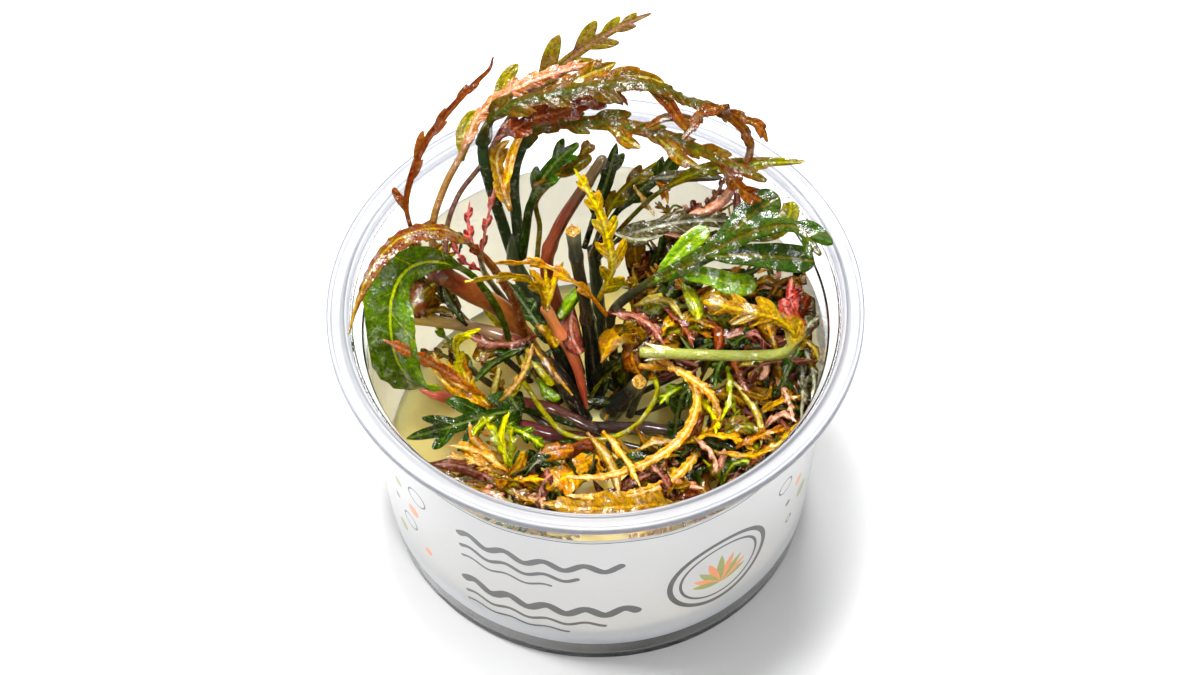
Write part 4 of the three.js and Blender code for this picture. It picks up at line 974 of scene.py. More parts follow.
def cup_outline(rim_radius, wall):
    """The cup's section: foot, tapered wall, stepped inner edge and flat flange with a beaded edge."""
    flare = CUP_HEIGHT - FLARE_DEPTH
    step = CUP_HEIGHT - RIM_STEP
    under = CUP_HEIGHT - RIM_THICKNESS
    foot = [
        [AXIS_RADIUS, FOOT_RISE],
        [BASE_RADIUS - 4.5, FOOT_RISE],
        [BASE_RADIUS - 3.8, 0],
        [BASE_RADIUS - 0.9, 0],
        [BASE_RADIUS, 0.9],
    ]
    outside = [
        [wall_radius(flare), flare],
        [RIM_INNER_RADIUS + wall, step - RIM_THICKNESS],
        [RIM_INNER_RADIUS + 2.6, under],
        [rim_radius - 0.7, under],
        [rim_radius - 0.6, under - 0.5],
        [rim_radius, under - 0.4],
    ]
    flange = [
        [rim_radius, CUP_HEIGHT],
        [rim_radius - 0.8, CUP_HEIGHT],
        [rim_radius - 1.1, CUP_HEIGHT - FLANGE_DIP],
        [RIM_INNER_RADIUS + 2.1, CUP_HEIGHT - FLANGE_DIP],
        [RIM_INNER_RADIUS + 1.7, CUP_HEIGHT],
        [RIM_INNER_RADIUS + 1.0, CUP_HEIGHT],
        [RIM_INNER_RADIUS + 0.7, step],
        [RIM_INNER_RADIUS, step],
    ]
    inside = [
        [wall_radius(flare) - wall, flare],
        [wall_radius(2.2) - wall, 2.2],
        [BASE_RADIUS - wall - 1, FLOOR_THICKNESS],
        [AXIS_RADIUS, FLOOR_THICKNESS],
    ]
    return rounded([*foot, *outside, *flange, *inside])


def gel_outline():
    """The gel's section: it fills the foot of the cup and climbs a little where it wets the wall."""
    def reach(z):
        """The gel's radius at a height."""
        return wall_radius(z) - WALL_THICKNESS - GEL_GAP

    shape = [
        [AXIS_RADIUS, FLOOR_THICKNESS + GEL_GAP],
        [BASE_RADIUS - WALL_THICKNESS - 1.2, FLOOR_THICKNESS + GEL_GAP],
        [reach(2.3), 2.3],
        [reach(GEL_EDGE_TOP), GEL_EDGE_TOP - 0.1],
        [reach(GEL_TOP) - 0.7, GEL_TOP + 0.25],
        [reach(GEL_TOP) - 2.4, GEL_TOP],
    ]
    top = [[r, GEL_TOP] for r in np.arange(36, 0, -2.0)]
    return rounded([*shape, *top, [AXIS_RADIUS, GEL_TOP]])


def gel_waves(x, y, z):
    """How far the set gel's top stands from level."""
    top = np.clip((z - GEL_TOP + 0.3) / 0.3, 0, 1) * np.clip((37 - np.hypot(x, y)) / 4, 0, 1)
    return top * 0.28 * (np.sin(0.31 * x + 1) * np.cos(0.27 * y) + 0.5 * np.sin(0.6 * y - 0.4 * x))


# The label's badge, its petals and its waves, in millimetres on the unrolled label
BADGE = (24, 24)
BADGE_STEPS = 72
DOT_STEPS = 36
PETALS = 9
WAVE_LENGTH = 7.5
LABEL_COLUMNS = 181
LABEL_ROWS = 9


def ring_outline(x, z, radius, steps):
    """A circle about a place on the label."""
    turn = np.linspace(0, 2 * math.pi, steps, endpoint=False)
    return np.stack([x + radius * np.cos(turn), z + radius * np.sin(turn)], -1)


def band_outline(line, width):
    """A band of even width along a line, with round ends."""
    line = np.array(line, float)
    tangent = unit(np.gradient(line, axis=0))
    side = np.stack([-tangent[:, 1], tangent[:, 0]], -1) * width / 2
    cap = np.linspace(-math.pi / 2, math.pi / 2, 7)[1:-1]
    first, last = tangent[0] * width / 2, tangent[-1] * width / 2
    end = [line[-1] + last * math.cos(t) - side[-1] * math.sin(t) for t in cap]
    start = [line[0] - first * math.cos(t) + side[0] * math.sin(t) for t in cap]
    return np.array([*(line + side), *end, *(line - side)[::-1], *start])


def petal_outline(x, z, length, width, turn):
    """A slim pointed oval that starts at a point and leans by an angle."""
    t = np.linspace(0, 1, PETAL_STEPS)
    half = width / 2 * np.sin(math.pi * t) ** 0.8
    points = np.concatenate([np.stack([t * length, half], -1), np.stack([t * length, -half], -1)[-2:0:-1]])
    c, s = math.cos(turn), math.sin(turn)
    return np.stack([x + points[:, 0] * c - points[:, 1] * s, z + points[:, 0] * s + points[:, 1] * c], -1)


def wave_line(x0, x1, z, rise, waves):
    """A wavy line between two places at one height."""
    t = np.linspace(0, 1, WAVE_STEPS)
    return np.stack([x0 + (x1 - x0) * t, z + rise * np.sin(2 * math.pi * waves * t)], -1)


def label_print():
    """The label's plain design, unrolled: its inks and outlines, each laid over those before it."""
    design = []
    for x0, x1, z, width, rise in (
        (-27, 4, 36, 1.7, 1.1), (-27, -4, 31.6, 1.1, 0.8), (-27, -9, 28, 0.7, 0.6),
        (-27, 7, 19.4, 2.1, 1.1), (-27, 1, 14.8, 0.9, 0.6), (-27, -6, 11.8, 0.6, 0.4),
    ):
        design.append(("grey", band_outline(wave_line(x0, x1, z, rise, (x1 - x0) / WAVE_LENGTH), width)))
    for radius, width in ((11.2, 1.15), (8.8, 0.6)):
        design.append(("grey", ring_outline(*BADGE, radius, BADGE_STEPS)))
        design.append(("white", ring_outline(*BADGE, radius - width, BADGE_STEPS)))
    for k in range(PETALS):
        turn = math.radians(20 + 17.5 * k)
        ink = "orange" if k % 2 else "green"
        design.append((ink, petal_outline(24, 19.2, 10 - 0.9 * abs(k - 4), 1.7, turn)))
    for x, z, radius, ink in (
        (40, 36, 2.2, "grey"), (45.5, 31, 1.3, "orange"), (42, 27.4, 0.8, "grey"),
        (48, 24.5, 1.9, "green"), (43.5, 20, 1.1, "grey"), (-38, 36, 2.6, "grey"),
        (-44.5, 33.5, 1.2, "green"), (-40, 29, 1.6, "orange"), (-46, 27, 0.8, "grey"),
        (-42, 23, 2.3, "grey"), (-37, 18, 1.0, "orange"), (-46, 16.5, 1.5, "green"),
    ):
        design.append((ink, ring_outline(x, z, radius, DOT_STEPS)))
        if ink == "grey" and radius > 1.0:
            design.append(("white", ring_outline(x, z, radius - 0.42, DOT_STEPS)))
    for x in (70, 95, 120, -70, -95, -120):
        design.append(("grey", band_outline(wave_line(x - 9, x + 9, 26, 0.8, 2.5), 0.7)))
        design.append(("orange", ring_outline(x, 33, 1.4, DOT_STEPS)))
    angle = np.linspace(-0.99 * math.pi, 0.99 * math.pi, 240)
    height = LABEL_TOP - 1.1 + label_edge(angle - math.pi / 2)
    edge = np.stack([wall_radius(LABEL_MIDDLE) * angle, height], -1)
    design.append(("grey", band_outline(edge, 0.3)))
    return design


def label_edge(angle):
    """How the label's hand-laid top edge rises and falls around the cup."""
    return 0.16 * np.sin(7 * angle) + 0.1 * np.sin(17 * angle + 1)


def inside_outline(points, outline):
    """Which points lie inside a closed outline."""
    x, y = points[:, 0], points[:, 1]
    within = np.zeros(len(points), bool)
    for (x0, y0), (x1, y1) in zip(outline, np.roll(outline, -1, 0)):
        if y0 == y1:
            continue
        crosses = (y0 > y) != (y1 > y)
        within ^= crosses & (x < (x1 - x0) * (y - y0) / (y1 - y0) + x0)
    return within


def label_part(inks):
    """The wrap label: an outer face cut along its print, and an inner face, closed at both edges."""
    middle = wall_radius(LABEL_MIDDLE)
    half = math.pi * middle
    columns = np.linspace(-half, half, LABEL_COLUMNS)
    rows = np.linspace(LABEL_BOTTOM, LABEL_TOP, LABEL_ROWS)
    points = [(x, z) for z in rows for x in columns]
    edges = []
    for row in (0, len(rows) - 1):
        first = row * len(columns)
        edges.extend((first + k, first + k + 1) for k in range(len(columns) - 1))
    design = label_print()
    for _, outline in design:
        first = len(points)
        points.extend(map(tuple, outline))
        count = len(outline)
        edges.extend((first + k, first + (k + 1) % count) for k in range(count))
    flat, _, faces, *_ = delaunay_2d_cdt([Vector(p) for p in points], edges, [], 0, TINY)
    flat = np.array([tuple(p) for p in flat])
    faces = np.array(faces)
    centres = flat[faces].mean(1)
    ink_of = np.zeros(len(faces), int)
    names = list(inks)
    for ink, outline in design:
        ink_of[inside_outline(centres, outline)] = names.index(ink)
    top = flat[:, 1] > LABEL_TOP - TINY
    bottom = flat[:, 1] < LABEL_BOTTOM + TINY
    angle = -math.pi / 2 + flat[:, 0] / middle
    z = flat[:, 1] + top * (label_edge(angle) - 0.3)
    seam = flat[:, 0] > half - TINY
    same = np.arange(len(flat))
    for k in np.flatnonzero(seam):
        twin = np.flatnonzero((flat[:, 0] < -half + TINY) & (np.abs(flat[:, 1] - flat[k, 1]) < TINY))
        if len(twin):
            same[k] = twin[0]
    z = z[same]
    angle = np.where(seam, -1.5 * math.pi, angle)
    faces = same[faces]

    def shell(gap):
        """One face of the label, at a gap from the wall."""
        radius = wall_radius(z) + gap
        return np.stack([radius * np.cos(angle), radius * np.sin(angle), z], -1)

    outer, inner = map(shell, LABEL_GAPS)
    count = len(flat)
    closing = []
    for edge, turn in ((bottom, 1), (top, -1)):
        ring = [k for k in np.flatnonzero(edge)[np.argsort(flat[edge, 0])] if not seam[k]]
        for here, there in zip(ring, [*ring[1:], ring[0]]):
            closing.append([here, there, there + count, here + count][::turn])
    points = np.vstack([outer, inner])
    outer_faces = faces.tolist()
    a, b, c = outer[faces[0]]
    if np.dot(np.cross(b - a, c - a), [a[0], a[1], 0]) < 0:
        outer_faces = [face[::-1] for face in outer_faces]
    inner_faces = [[k + count for k in face[::-1]] for face in outer_faces]
    finishes = [inks[names[k]] for k in ink_of]
    finishes += [inks["cream"]] * len(inner_faces) + [inks["white"]] * len(closing)
    return Part(points, outer_faces + inner_faces + closing, finishes)


# Where each piece grows, in millimetres

PLANTED = GEL_TOP + 1
TO_VIEWER = (0, -0.6, 0.8)
FRONT = (0, -1, 0.1)


def stem(slot, end, streak_and_highlight, route, **shape):
    """A stem: its record slot, which is not used, the look of its far end, the colour of its streaks and its
    route.
    """
    return dict(shape, slot=slot, end=end, streak_and_highlight=streak_and_highlight, route=route)


def leaf(slot, finish, seed, face, route, **shape):
    """A large leaf: its record slot, which is not used, finish, seed, the way it faces and the route of its
    midrib.
    """
    return dict(shape, slot=slot, finish=finish, seed=seed, face=face, route=route)


def side_leaf(finish, seed, span, route, **shape):
    """A small leaf that grows on a large one. It faces the viewer and has no stalk or lobes unless given."""
    usual = dict(face=TO_VIEWER, stalk=0, lobes=0)
    return usual | dict(shape, finish=finish, seed=seed, span=span, route=route)


def big_finger(seed, span, route, **shape):
    """One long lobe of the big right leaf, which is a blade of its own."""
    return dict(BIG_FINGER, seed=seed, span=span, route=route) | shape


def left_lobes(*lobes):
    """Lobes at the left of a midrib, each its share along the blade, reach and half width."""
    return tuple((-1, *lobe) for lobe in lobes)


def right_lobes(*lobes):
    """Lobes at the right of a midrib, each its share along the blade, reach and half width."""
    return tuple((1, *lobe) for lobe in lobes)


def shoot(slot, radius, extras, spread, finishes, route, *leaves):
    """A side plantlet: how many thin leaves fill it, how far they spread, its finishes, stem and leaves."""
    stem_words = dict(slot=slot, radius=radius, route=route)
    return dict(stem_words, extras=extras, spread=spread, finishes=finishes, leaves=leaves)


def sprig(start, face, span, route, **shape):
    """A leaf of a plantlet, which starts at a share of the plantlet's stem."""
    return dict(shape, start=start, face=face, span=span, route=route)


# Each stem's streak colour is a painted highlight on its ridges
STEMS = {
    "stem_tall": stem("black_green_stem", "dome", 0x6E7A5C, ((-4.5, 15, PLANTED), (-8, 18, 24),
        (-12.5, 22, 34), (-15.4, 24.9, 40.5), (-15.6, 26.7, 45)), radii=(1.6, 1.5, 1.5, 1.6, 1.0),
        nodes=(0.42, 0.88), stops=((0, 0x10140C), (0.6, 0x1E2616), (1, 0x33401E))),
    "stem_left": stem("red_brown_stem", "dome", 0xC4783C, ((-8.6, 13, PLANTED), (-12.6, 17, 22),
        (-17.6, 18.8, 32.5), (-24, 16.8, 42), (-30.3, 14.9, 51.5)), radii=(1.75, 1.9, 2.0, 2.05, 1.9),
        nodes=(0.36, 0.95), stops=((0, 0x24180F), (0.3, 0x7C4418), (0.65, 0xB06426), (0.86, 0x8C361A),
        (1, 0x4A1810))),
    "stem_centre": stem("black_green_stem", "torn", 0x5C665A, ((0, 12, PLANTED), (-0.8, 14.8, 25),
        (-2, 16.5, 38), (-3.4, 18.1, 49), (-4, 19.1, 57)), radii=(1.6, 1.6, 1.3, 1.1, 1.35),
        nodes=(0.5, 0.86), stops=((0, 0x0A0C09), (0.6, 0x10130F), (0.85, 0x1E241E), (0.95, 0x363C30),
        (1, 0x6A6C50))),
    "stem_salmon": stem("salmon_stem", "dome", 0xF2B48C, ((-2.2, 8.8, 16), (-4, 11, 26), (-6.9, 13.6, 32),
        (-9.4, 15.2, 38)), radii=(0.35, 0.85, 1.0, 1.05, 1.15), nodes=(0.72,), root=1.5,
        stops=((0, 0xC8442C), (0.5, 0xD8643A), (1, 0xE08A48))),
    "stem_tan": stem("tan_stem", "torn", 0xD8BC98, ((-4, 9, 14.5), (-8, 11.6, 23), (-13.6, 14, 27.6),
        (-18, 15, 30), (-24, 15.6, 32), (-35.3, 15, 36)), radii=(1.7, 1.7, 1.45, 1.25, 1.15, 1.25),
        nodes=(0.6,), root=5, stops=((0, 0x100F0C), (0.34, 0x1E1A16), (0.5, 0x6A4636), (0.68, 0x9A7452),
        (0.84, 0xB08E4E), (1, 0xC8A23E))),
    "stem_red": stem("red_brown_stem", "point", 0xE8A888, ((-5, 6, 14.6), (-9.5, 7.6, 16), (-18.7, 7, 19),
        (-26.3, 6, 21), (-31.3, 6.4, 23)), radii=(1.2, 1.35, 1.35, 1.3, 1.1), nodes=(0.5,), root=6,
        stops=((0, 0x1A100E), (0.3, 0x54281E), (0.62, 0x8C3C2C), (1, 0xE0684A))),
    "stem_maroon": stem("red_brown_stem", "dome", 0xA0605A, ((-4.2, 1.8, 14), (-9, 1.4, 16),
        (-14.8, 2.2, 18), (-17.5, 2.2, 19.5)), radii=(1.4, 1.45, 1.3), nodes=(0.55,), root=6,
        stops=((0, 0x180C0B), (0.5, 0x4A1C1A), (1, 0x7A2C2A))),
    "stem_front": stem("black_green_stem", "cut", 0x5C6654, ((-1, -0.8, 14), (-8.1, -3.2, 16),
        (-14.5, -6, 18.5)), radii=(1.25, 1.2, 1.2), nodes=(0.6,), root=5,
        stops=((0, 0x0E100C), (1, 0x262C20))),
    "stem_brown_back": stem("red_brown_stem", "dome", 0xA86034, ((-3.5, 19, PLANTED), (-7.5, 21, 32),
        (-9.2, 23.2, 42), (-6.5, 25.4, 51), (-1.5, 28, 60), (1.6, 30, 65)),
        radii=(1.1, 1.2, 1.3, 1.2, 1.05), nodes=(0.36, 0.62, 0.9), stops=((0, 0x24110D), (0.3, 0x5C2618),
        (0.6, 0x8A3A1C), (0.8, 0x5A2414), (0.92, 0x4E3A20), (1, 0x5A4C30))),
    "stem_dark_back": stem("black_green_stem", "dome", 0x5C6848, ((0.8, 16.6, PLANTED), (0.8, 21, 24),
        (0.2, 26, 34), (-0.2, 28.2, 39.5)), radii=(1.2, 1.2, 1.25), nodes=(0.55,),
        stops=((0, 0x10140C), (1, 0x2A361C))),
    "stem_cut_right": stem("black_green_stem", "cut", 0x424A3C, ((3.4, 8.2, 14.2), (6, 7, 21),
        (8.2, 4.6, 28.5)), radii=(1.8, 1.7, 1.45), nodes=(0.4,), root=4, stops=((0, 0x0A0C09),
        (0.8, 0x161A14), (1, 0x5A5A34))),
    "stem_leafy_right": stem("black_green_stem", "dome", 0x7A7E48, ((6.6, 8.4, PLANTED), (8.6, 8.2, 22),
        (10.2, 6.8, 30.6)), radii=(0.8, 0.8, 0.9), nodes=(0.6,), root=5,
        stops=((0, 0x14180E), (1, 0x4A4E20))),
    "stem_low_right": stem("red_brown_stem", "cut", 0x7E6458, ((3.2, 4.2, 14), (10.2, 1.8, 17),
        (20.6, -2.7, 20)), radii=(1.2, 1.1, 1.1), nodes=(0.5,), root=5, stops=((0, 0x16100E),
        (0.6, 0x3A2620), (1, 0x2C2A20))),
}

ARCH_LEAVES = {
    "leaf_arch_back": leaf("brown_leaf", "arch_brown", 11, ((0, 0.2, 1), (1, -0.2, 0.4)),
        ((-17.4, 27.6, 48.3), (-19.3, 28.6, 58), (-20.6, 29.6, 66), (-20.5, 31.4, 70), (-18, 32.4, 76),
        (-13.5, 33, 79), (-6, 33.4, 81), (3.3, 34.6, 82), (10.7, 34.4, 82), (18.2, 33.2, 78.5),
        (24.2, 32.8, 76), (27.6, 31.8, 72.4), (29.2, 30.6, 69), (28.8, 28.8, 66.8)), stalk=0.3, radius=1.1,
        span=2.6, waist=0.62, sweep=1.1, round=3.2, fold=-0.3, wave=0.3, lobe_bend=0.5, rib=0.75, root=8,
        end=0.12, lobes=left_lobes((0.05, 2.1, 2.2), (0.14, 2.5, 2.2), (0.3, 3.1, 2.6), (0.48, 2.1, 2.8),
        (0.62, 1.9, 1.6), (0.73, 1.4, 1.6), (0.84, 2.4, 1.8)) + right_lobes((0.05, 2.5, 2.2),
        (0.18, 3.4, 2.6), (0.3, 2.8, 2.2), (0.43, 3.4, 2.4), (0.56, 1.6, 1.5), (0.68, 1.4, 1.5),
        (0.8, 1.8, 1.5), (0.92, 1.3, 1.3)), more=(
            side_leaf("tan", 51, 2, ((-16.4, 25, 59.6), (-17.3, 27.3, 61.2), (-18.2, 30.3, 63.5),
                (-17.6, 32.9, 65.3), (-15.7, 34.1, 66.2)), lobes=2, waist=0.6, curl=0.4, fold=0.5),
            side_leaf("orange", 52, 0.9, ((-16.3, 26.3, 64.6), (-15.3, 29.8, 67.1), (-13.9, 32.4, 69),
                (-12.8, 34, 70.2)), fold=0.5),
            side_leaf("wine", 53, 3, ((-16.5, 29.2, 74), (-10.8, 31.4, 76.1), (-6.1, 32.3, 76.7),
                (-1.4, 33.5, 77.6), (2.3, 34.5, 78.3), (5.5, 34.3, 78.2), (6.6, 33.1, 77.3)),
                face=(0, -0.7, 0.6), stalk=0.05, lobes=5, waist=0.45, fold=-0.3, wave=0.5, lobe_bend=0.7),
            side_leaf("arch_rust", 54, 1.2, ((11.7, 33.6, 80.4), (14.1, 32.4, 78.8), (15.9, 30.1, 77.2),
                (17.3, 28.3, 75.8)), fold=0.4, end=0.1),
            side_leaf("arch_rust", 55, 1.4, ((23.4, 32.1, 77.4), (20.6, 31.5, 77.1), (18.9, 30, 76.1),
                (17.7, 28.5, 75), (16.6, 27.3, 74.4)), lobes=2, waist=0.7),
            side_leaf("arch_rust", 56, 0.9, ((18.4, 30.6, 76), (14, 31.6, 75.7), (11, 30.6, 74.9),
                (9.8, 30, 74.4)), fold=0.4),
            side_leaf("arch_rust", 57, 1.5, ((26.2, 33.2, 74), (29.8, 32.8, 72.3), (31.7, 31.6, 71.4),
                (32.6, 29.7, 70.1)), face=(0.3, -0.5, 0.8), lobes=2, waist=0.5),
            side_leaf("olive_brown", 58, 2.2, ((-6.1, 35.4, 79), (-2.3, 37.6, 80), (1.5, 39.2, 80.6),
                (4.5, 40.5, 81)), lobes=2, waist=0.6, curl=0.3),
            side_leaf("olive_brown", 59, 1.9, ((2.4, 35.6, 81), (6, 36.6, 81.6), (9.8, 36.6, 81.4),
                (13.4, 35.9, 80.6)), lobes=1, waist=0.7, fold=0.3),
            side_leaf("arch_rust", 60, 1.4, ((24.6, 32.4, 75.8), (27.8, 31.5, 72.2), (29.4, 30.3, 68.8),
                (28.9, 28.5, 66), (28.4, 27.2, 64.4)), face=(0.6, -0.5, 0.6), lobes=3, waist=0.75),
        )),
    "leaf_arch_front": leaf("olive_leaf", "arch_olive", 12, ((0, -0.3, 1), (0.2, -0.6, 1)),
        ((-14.7, 27.9, 48.3), (-15.2, 30.4, 57), (-14.4, 32, 63), (-12, 33, 68.6), (-8.4, 33, 72),
        (-2.4, 32.4, 73.4), (5.1, 31.4, 73.8), (12.6, 30.2, 72.4), (20, 28.2, 70), (26.6, 26.2, 67.2),
        (32.4, 24.5, 65)), stalk=0.34, radius=1.1, span=2.7, waist=0.5, sweep=1.1, round=3.2, fold=-0.3,
        wave=0.25, lobe_bend=0.5, rib=0.75, root=8, end=0.12, lobes=left_lobes((0.1, 1.8, 1.8),
        (0.22, 2.1, 2.0), (0.36, 2.8, 3.0), (0.52, 2.0, 2.0), (0.64, 1.8, 1.8), (0.76, 2.5, 2.8),
        (0.9, 1.8, 1.8)) + right_lobes((0.04, 1.5, 1.6), (0.13, 1.8, 1.6), (0.24, 2.2, 2.0),
        (0.39, 2.0, 2.0), (0.54, 2.0, 1.8), (0.68, 1.8, 1.8), (0.84, 2.6, 2.4)), more=(
            side_leaf("olive_brown", 61, 1.5, ((4, 30.6, 73), (6.6, 29.2, 71.8), (8.8, 28, 71)), stalk=0.05,
                lobes=1, waist=0.7),
            side_leaf("olive_brown", 62, 1.4, ((13, 29, 71.4), (16.2, 27, 69.4), (20, 25.6, 67.6)),
                stalk=0.05, lobes=1, waist=0.7),
            side_leaf("arch_rust", 63, 2, ((25, 25.4, 66.6), (28, 23, 64), (31.4, 21.6, 62.4)), stalk=0.05,
                lobes=2, waist=0.6, curl=0.4),
        )),
    "leaf_dark_fork": leaf("dark_leaf", "deep_green", 13, TO_VIEWER, ((-13, 26.4, 48.2), (-12.2, 27.4, 54),
        (-9, 29.4, 61.6), (-5.6, 30.4, 66), (-2.8, 30.4, 69.4)), stalk=0.45, radius=0.85, span=2.8,
        waist=0.45, sweep=1.5, finger=0.5, root=7, lobes=2, more=(
            side_leaf("olive", 64, 1.5, ((-9.4, 28.8, 60.4), (-4.8, 30.4, 61.8), (-0.4, 32.2, 63.4)),
                stalk=0.3, fold=0.4),
        )),
}

LEFT_LEAVES = {
    "leaf_maroon_spire": leaf("brown_leaf", "maroon", 14, (-0.5, -0.8, 0.4), ((-32.6, 16.9, 53.4),
        (-34.2, 18.8, 58), (-35.2, 22.2, 62), (-34, 25.5, 67), (-31.6, 28.6, 72), (-27.1, 31.4, 78),
        (-21.8, 34.4, 83), (-18.9, 35.5, 86), (-18.3, 36.5, 88)), stalk=0.12, radius=0.5, span=1.7,
        waist=0.42, sweep=1.6, fold=0.2, lobe_bend=0.4, lobes=left_lobes((0.15, 2.6, 1.1), (0.42, 1.9, 2.2),
        (0.6, 1.1, 1.6), (0.75, 1.1, 1.6)) + right_lobes((0.32, 1.5, 2), (0.55, 1.4, 2), (0.8, 0.9, 1.6))),
    "leaf_pink_arch": leaf("orange_leaf", "pink", 15, (-0.5, -0.6, 0.5), ((-30.6, 18.2, 53.6),
        (-30.3, 20.6, 59), (-27.7, 25.8, 64), (-24.4, 30.2, 68), (-21.6, 35.4, 71.5), (-16, 38, 75.4),
        (-8.8, 39.6, 78.4), (-0.4, 41, 80.4)), stalk=0.42, radius=0.7, span=2.0, waist=0.62, sweep=1.0,
        fold=-0.4, wave=0.3, quilt=0.2, lobe_bend=0.5, lobes=7, more=(
            side_leaf("spire_finger", 65, 1.5, ((-24.5, 31.1, 67.3), (-24.2, 33.8, 69.2),
                (-23.1, 35.9, 70.8), (-21.6, 36.9, 71.5)), end=0.22),
            side_leaf("spire_finger", 66, 1.5, ((-17.6, 36.9, 72.4), (-16.8, 39.9, 74.6), (-15.6, 42, 76.2),
                (-13.9, 43.5, 77.3)), end=0.22),
        )),
    "leaf_back_spire": leaf("brown_leaf", "spire", 16, TO_VIEWER, ((-28.2, 17.1, 53.4), (-27.6, 21.5, 57),
        (-25.4, 26.2, 60), (-21.4, 31.2, 62), (-16.6, 37.6, 65.5), (-11.4, 41.4, 71.5), (-5.6, 42.6, 78),
        (0.1, 43.8, 83), (6.2, 44.4, 87.5), (11.1, 44, 91)), stalk=0.3, radius=0.5, span=4.8, waist=0.22,
        sweep=1.5, fold=0.06, wave=0.06, margin=0.02, lobe_bend=0.12, end=0.1,
        lobes=left_lobes((0.46, 5, 2.9), (0.66, 3.3, 2.6), (0.79, 1.9, 2.1), (0.88, 1.3, 1.7))
        + right_lobes((0.4, 3.2, 2.4), (0.57, 3.3, 1.8), (0.71, 2.9, 2.3), (0.85, 1.5, 2))),
    "leaf_green_left": leaf("green_leaf", "green", 17, ((-0.2, -0.2, 1), (-0.3, -0.8, -0.3)),
        ((-16.8, 13.4, 31.4), (-17.6, 13, 37), (-20, 12.4, 46), (-23.6, 12, 54), (-28, 11.4, 58.4),
        (-32.6, 10.2, 60), (-35.8, 7.6, 60), (-37.8, 4, 57.5), (-38.2, 0.8, 53), (-37.4, -1.3, 46),
        (-34.6, -3.4, 41), (-30, -2.6, 38)), stalk=0.4, radius=0.6, span=6.0, fold=0.12, wave=0.2,
        quilt=0.2, curl=0.1, end=0.2, rib=0.6, peak=1.7, lobes=0, more=(
            side_leaf("deep_green", 67, 0.75, ((-16.9, 13.3, 32.4), (-17.6, 13, 37), (-20, 12.4, 46),
                (-23.6, 12, 54), (-28, 11.4, 58.4)), face=(-0.2, -0.2, 1), root=0),
        )),
    "leaf_brown_left": leaf("brown_leaf", "left_brown", 18, ((0.2, 0.1, 1), (-0.5, 0.3, 1)),
        ((-13.4, 14.4, 29.6), (-14.4, 14.6, 37), (-17, 14.6, 46), (-20.6, 14.4, 55.4), (-25.2, 14.8, 61.8),
        (-30, 14.2, 65), (-35.8, 11.2, 66.4), (-40.4, 6.2, 65.6), (-43.6, -0.5, 63.6), (-45.6, -7.3, 61.6)),
        stalk=0.45, radius=0.5, span=3.9, taper=0.85, peak=0.8, fold=-0.25, wave=0.45, quilt=0.18, end=0.3,
        lobes=0, more=(
            side_leaf("purple_brown", 68, 0.95, ((-13.5, 14.4, 30.6), (-14.4, 14.6, 37), (-17, 14.6, 46),
                (-20.6, 14.4, 55.4), (-25.2, 14.8, 61.8)), face=(0.2, -0.4, 1), root=0),
        )),
}

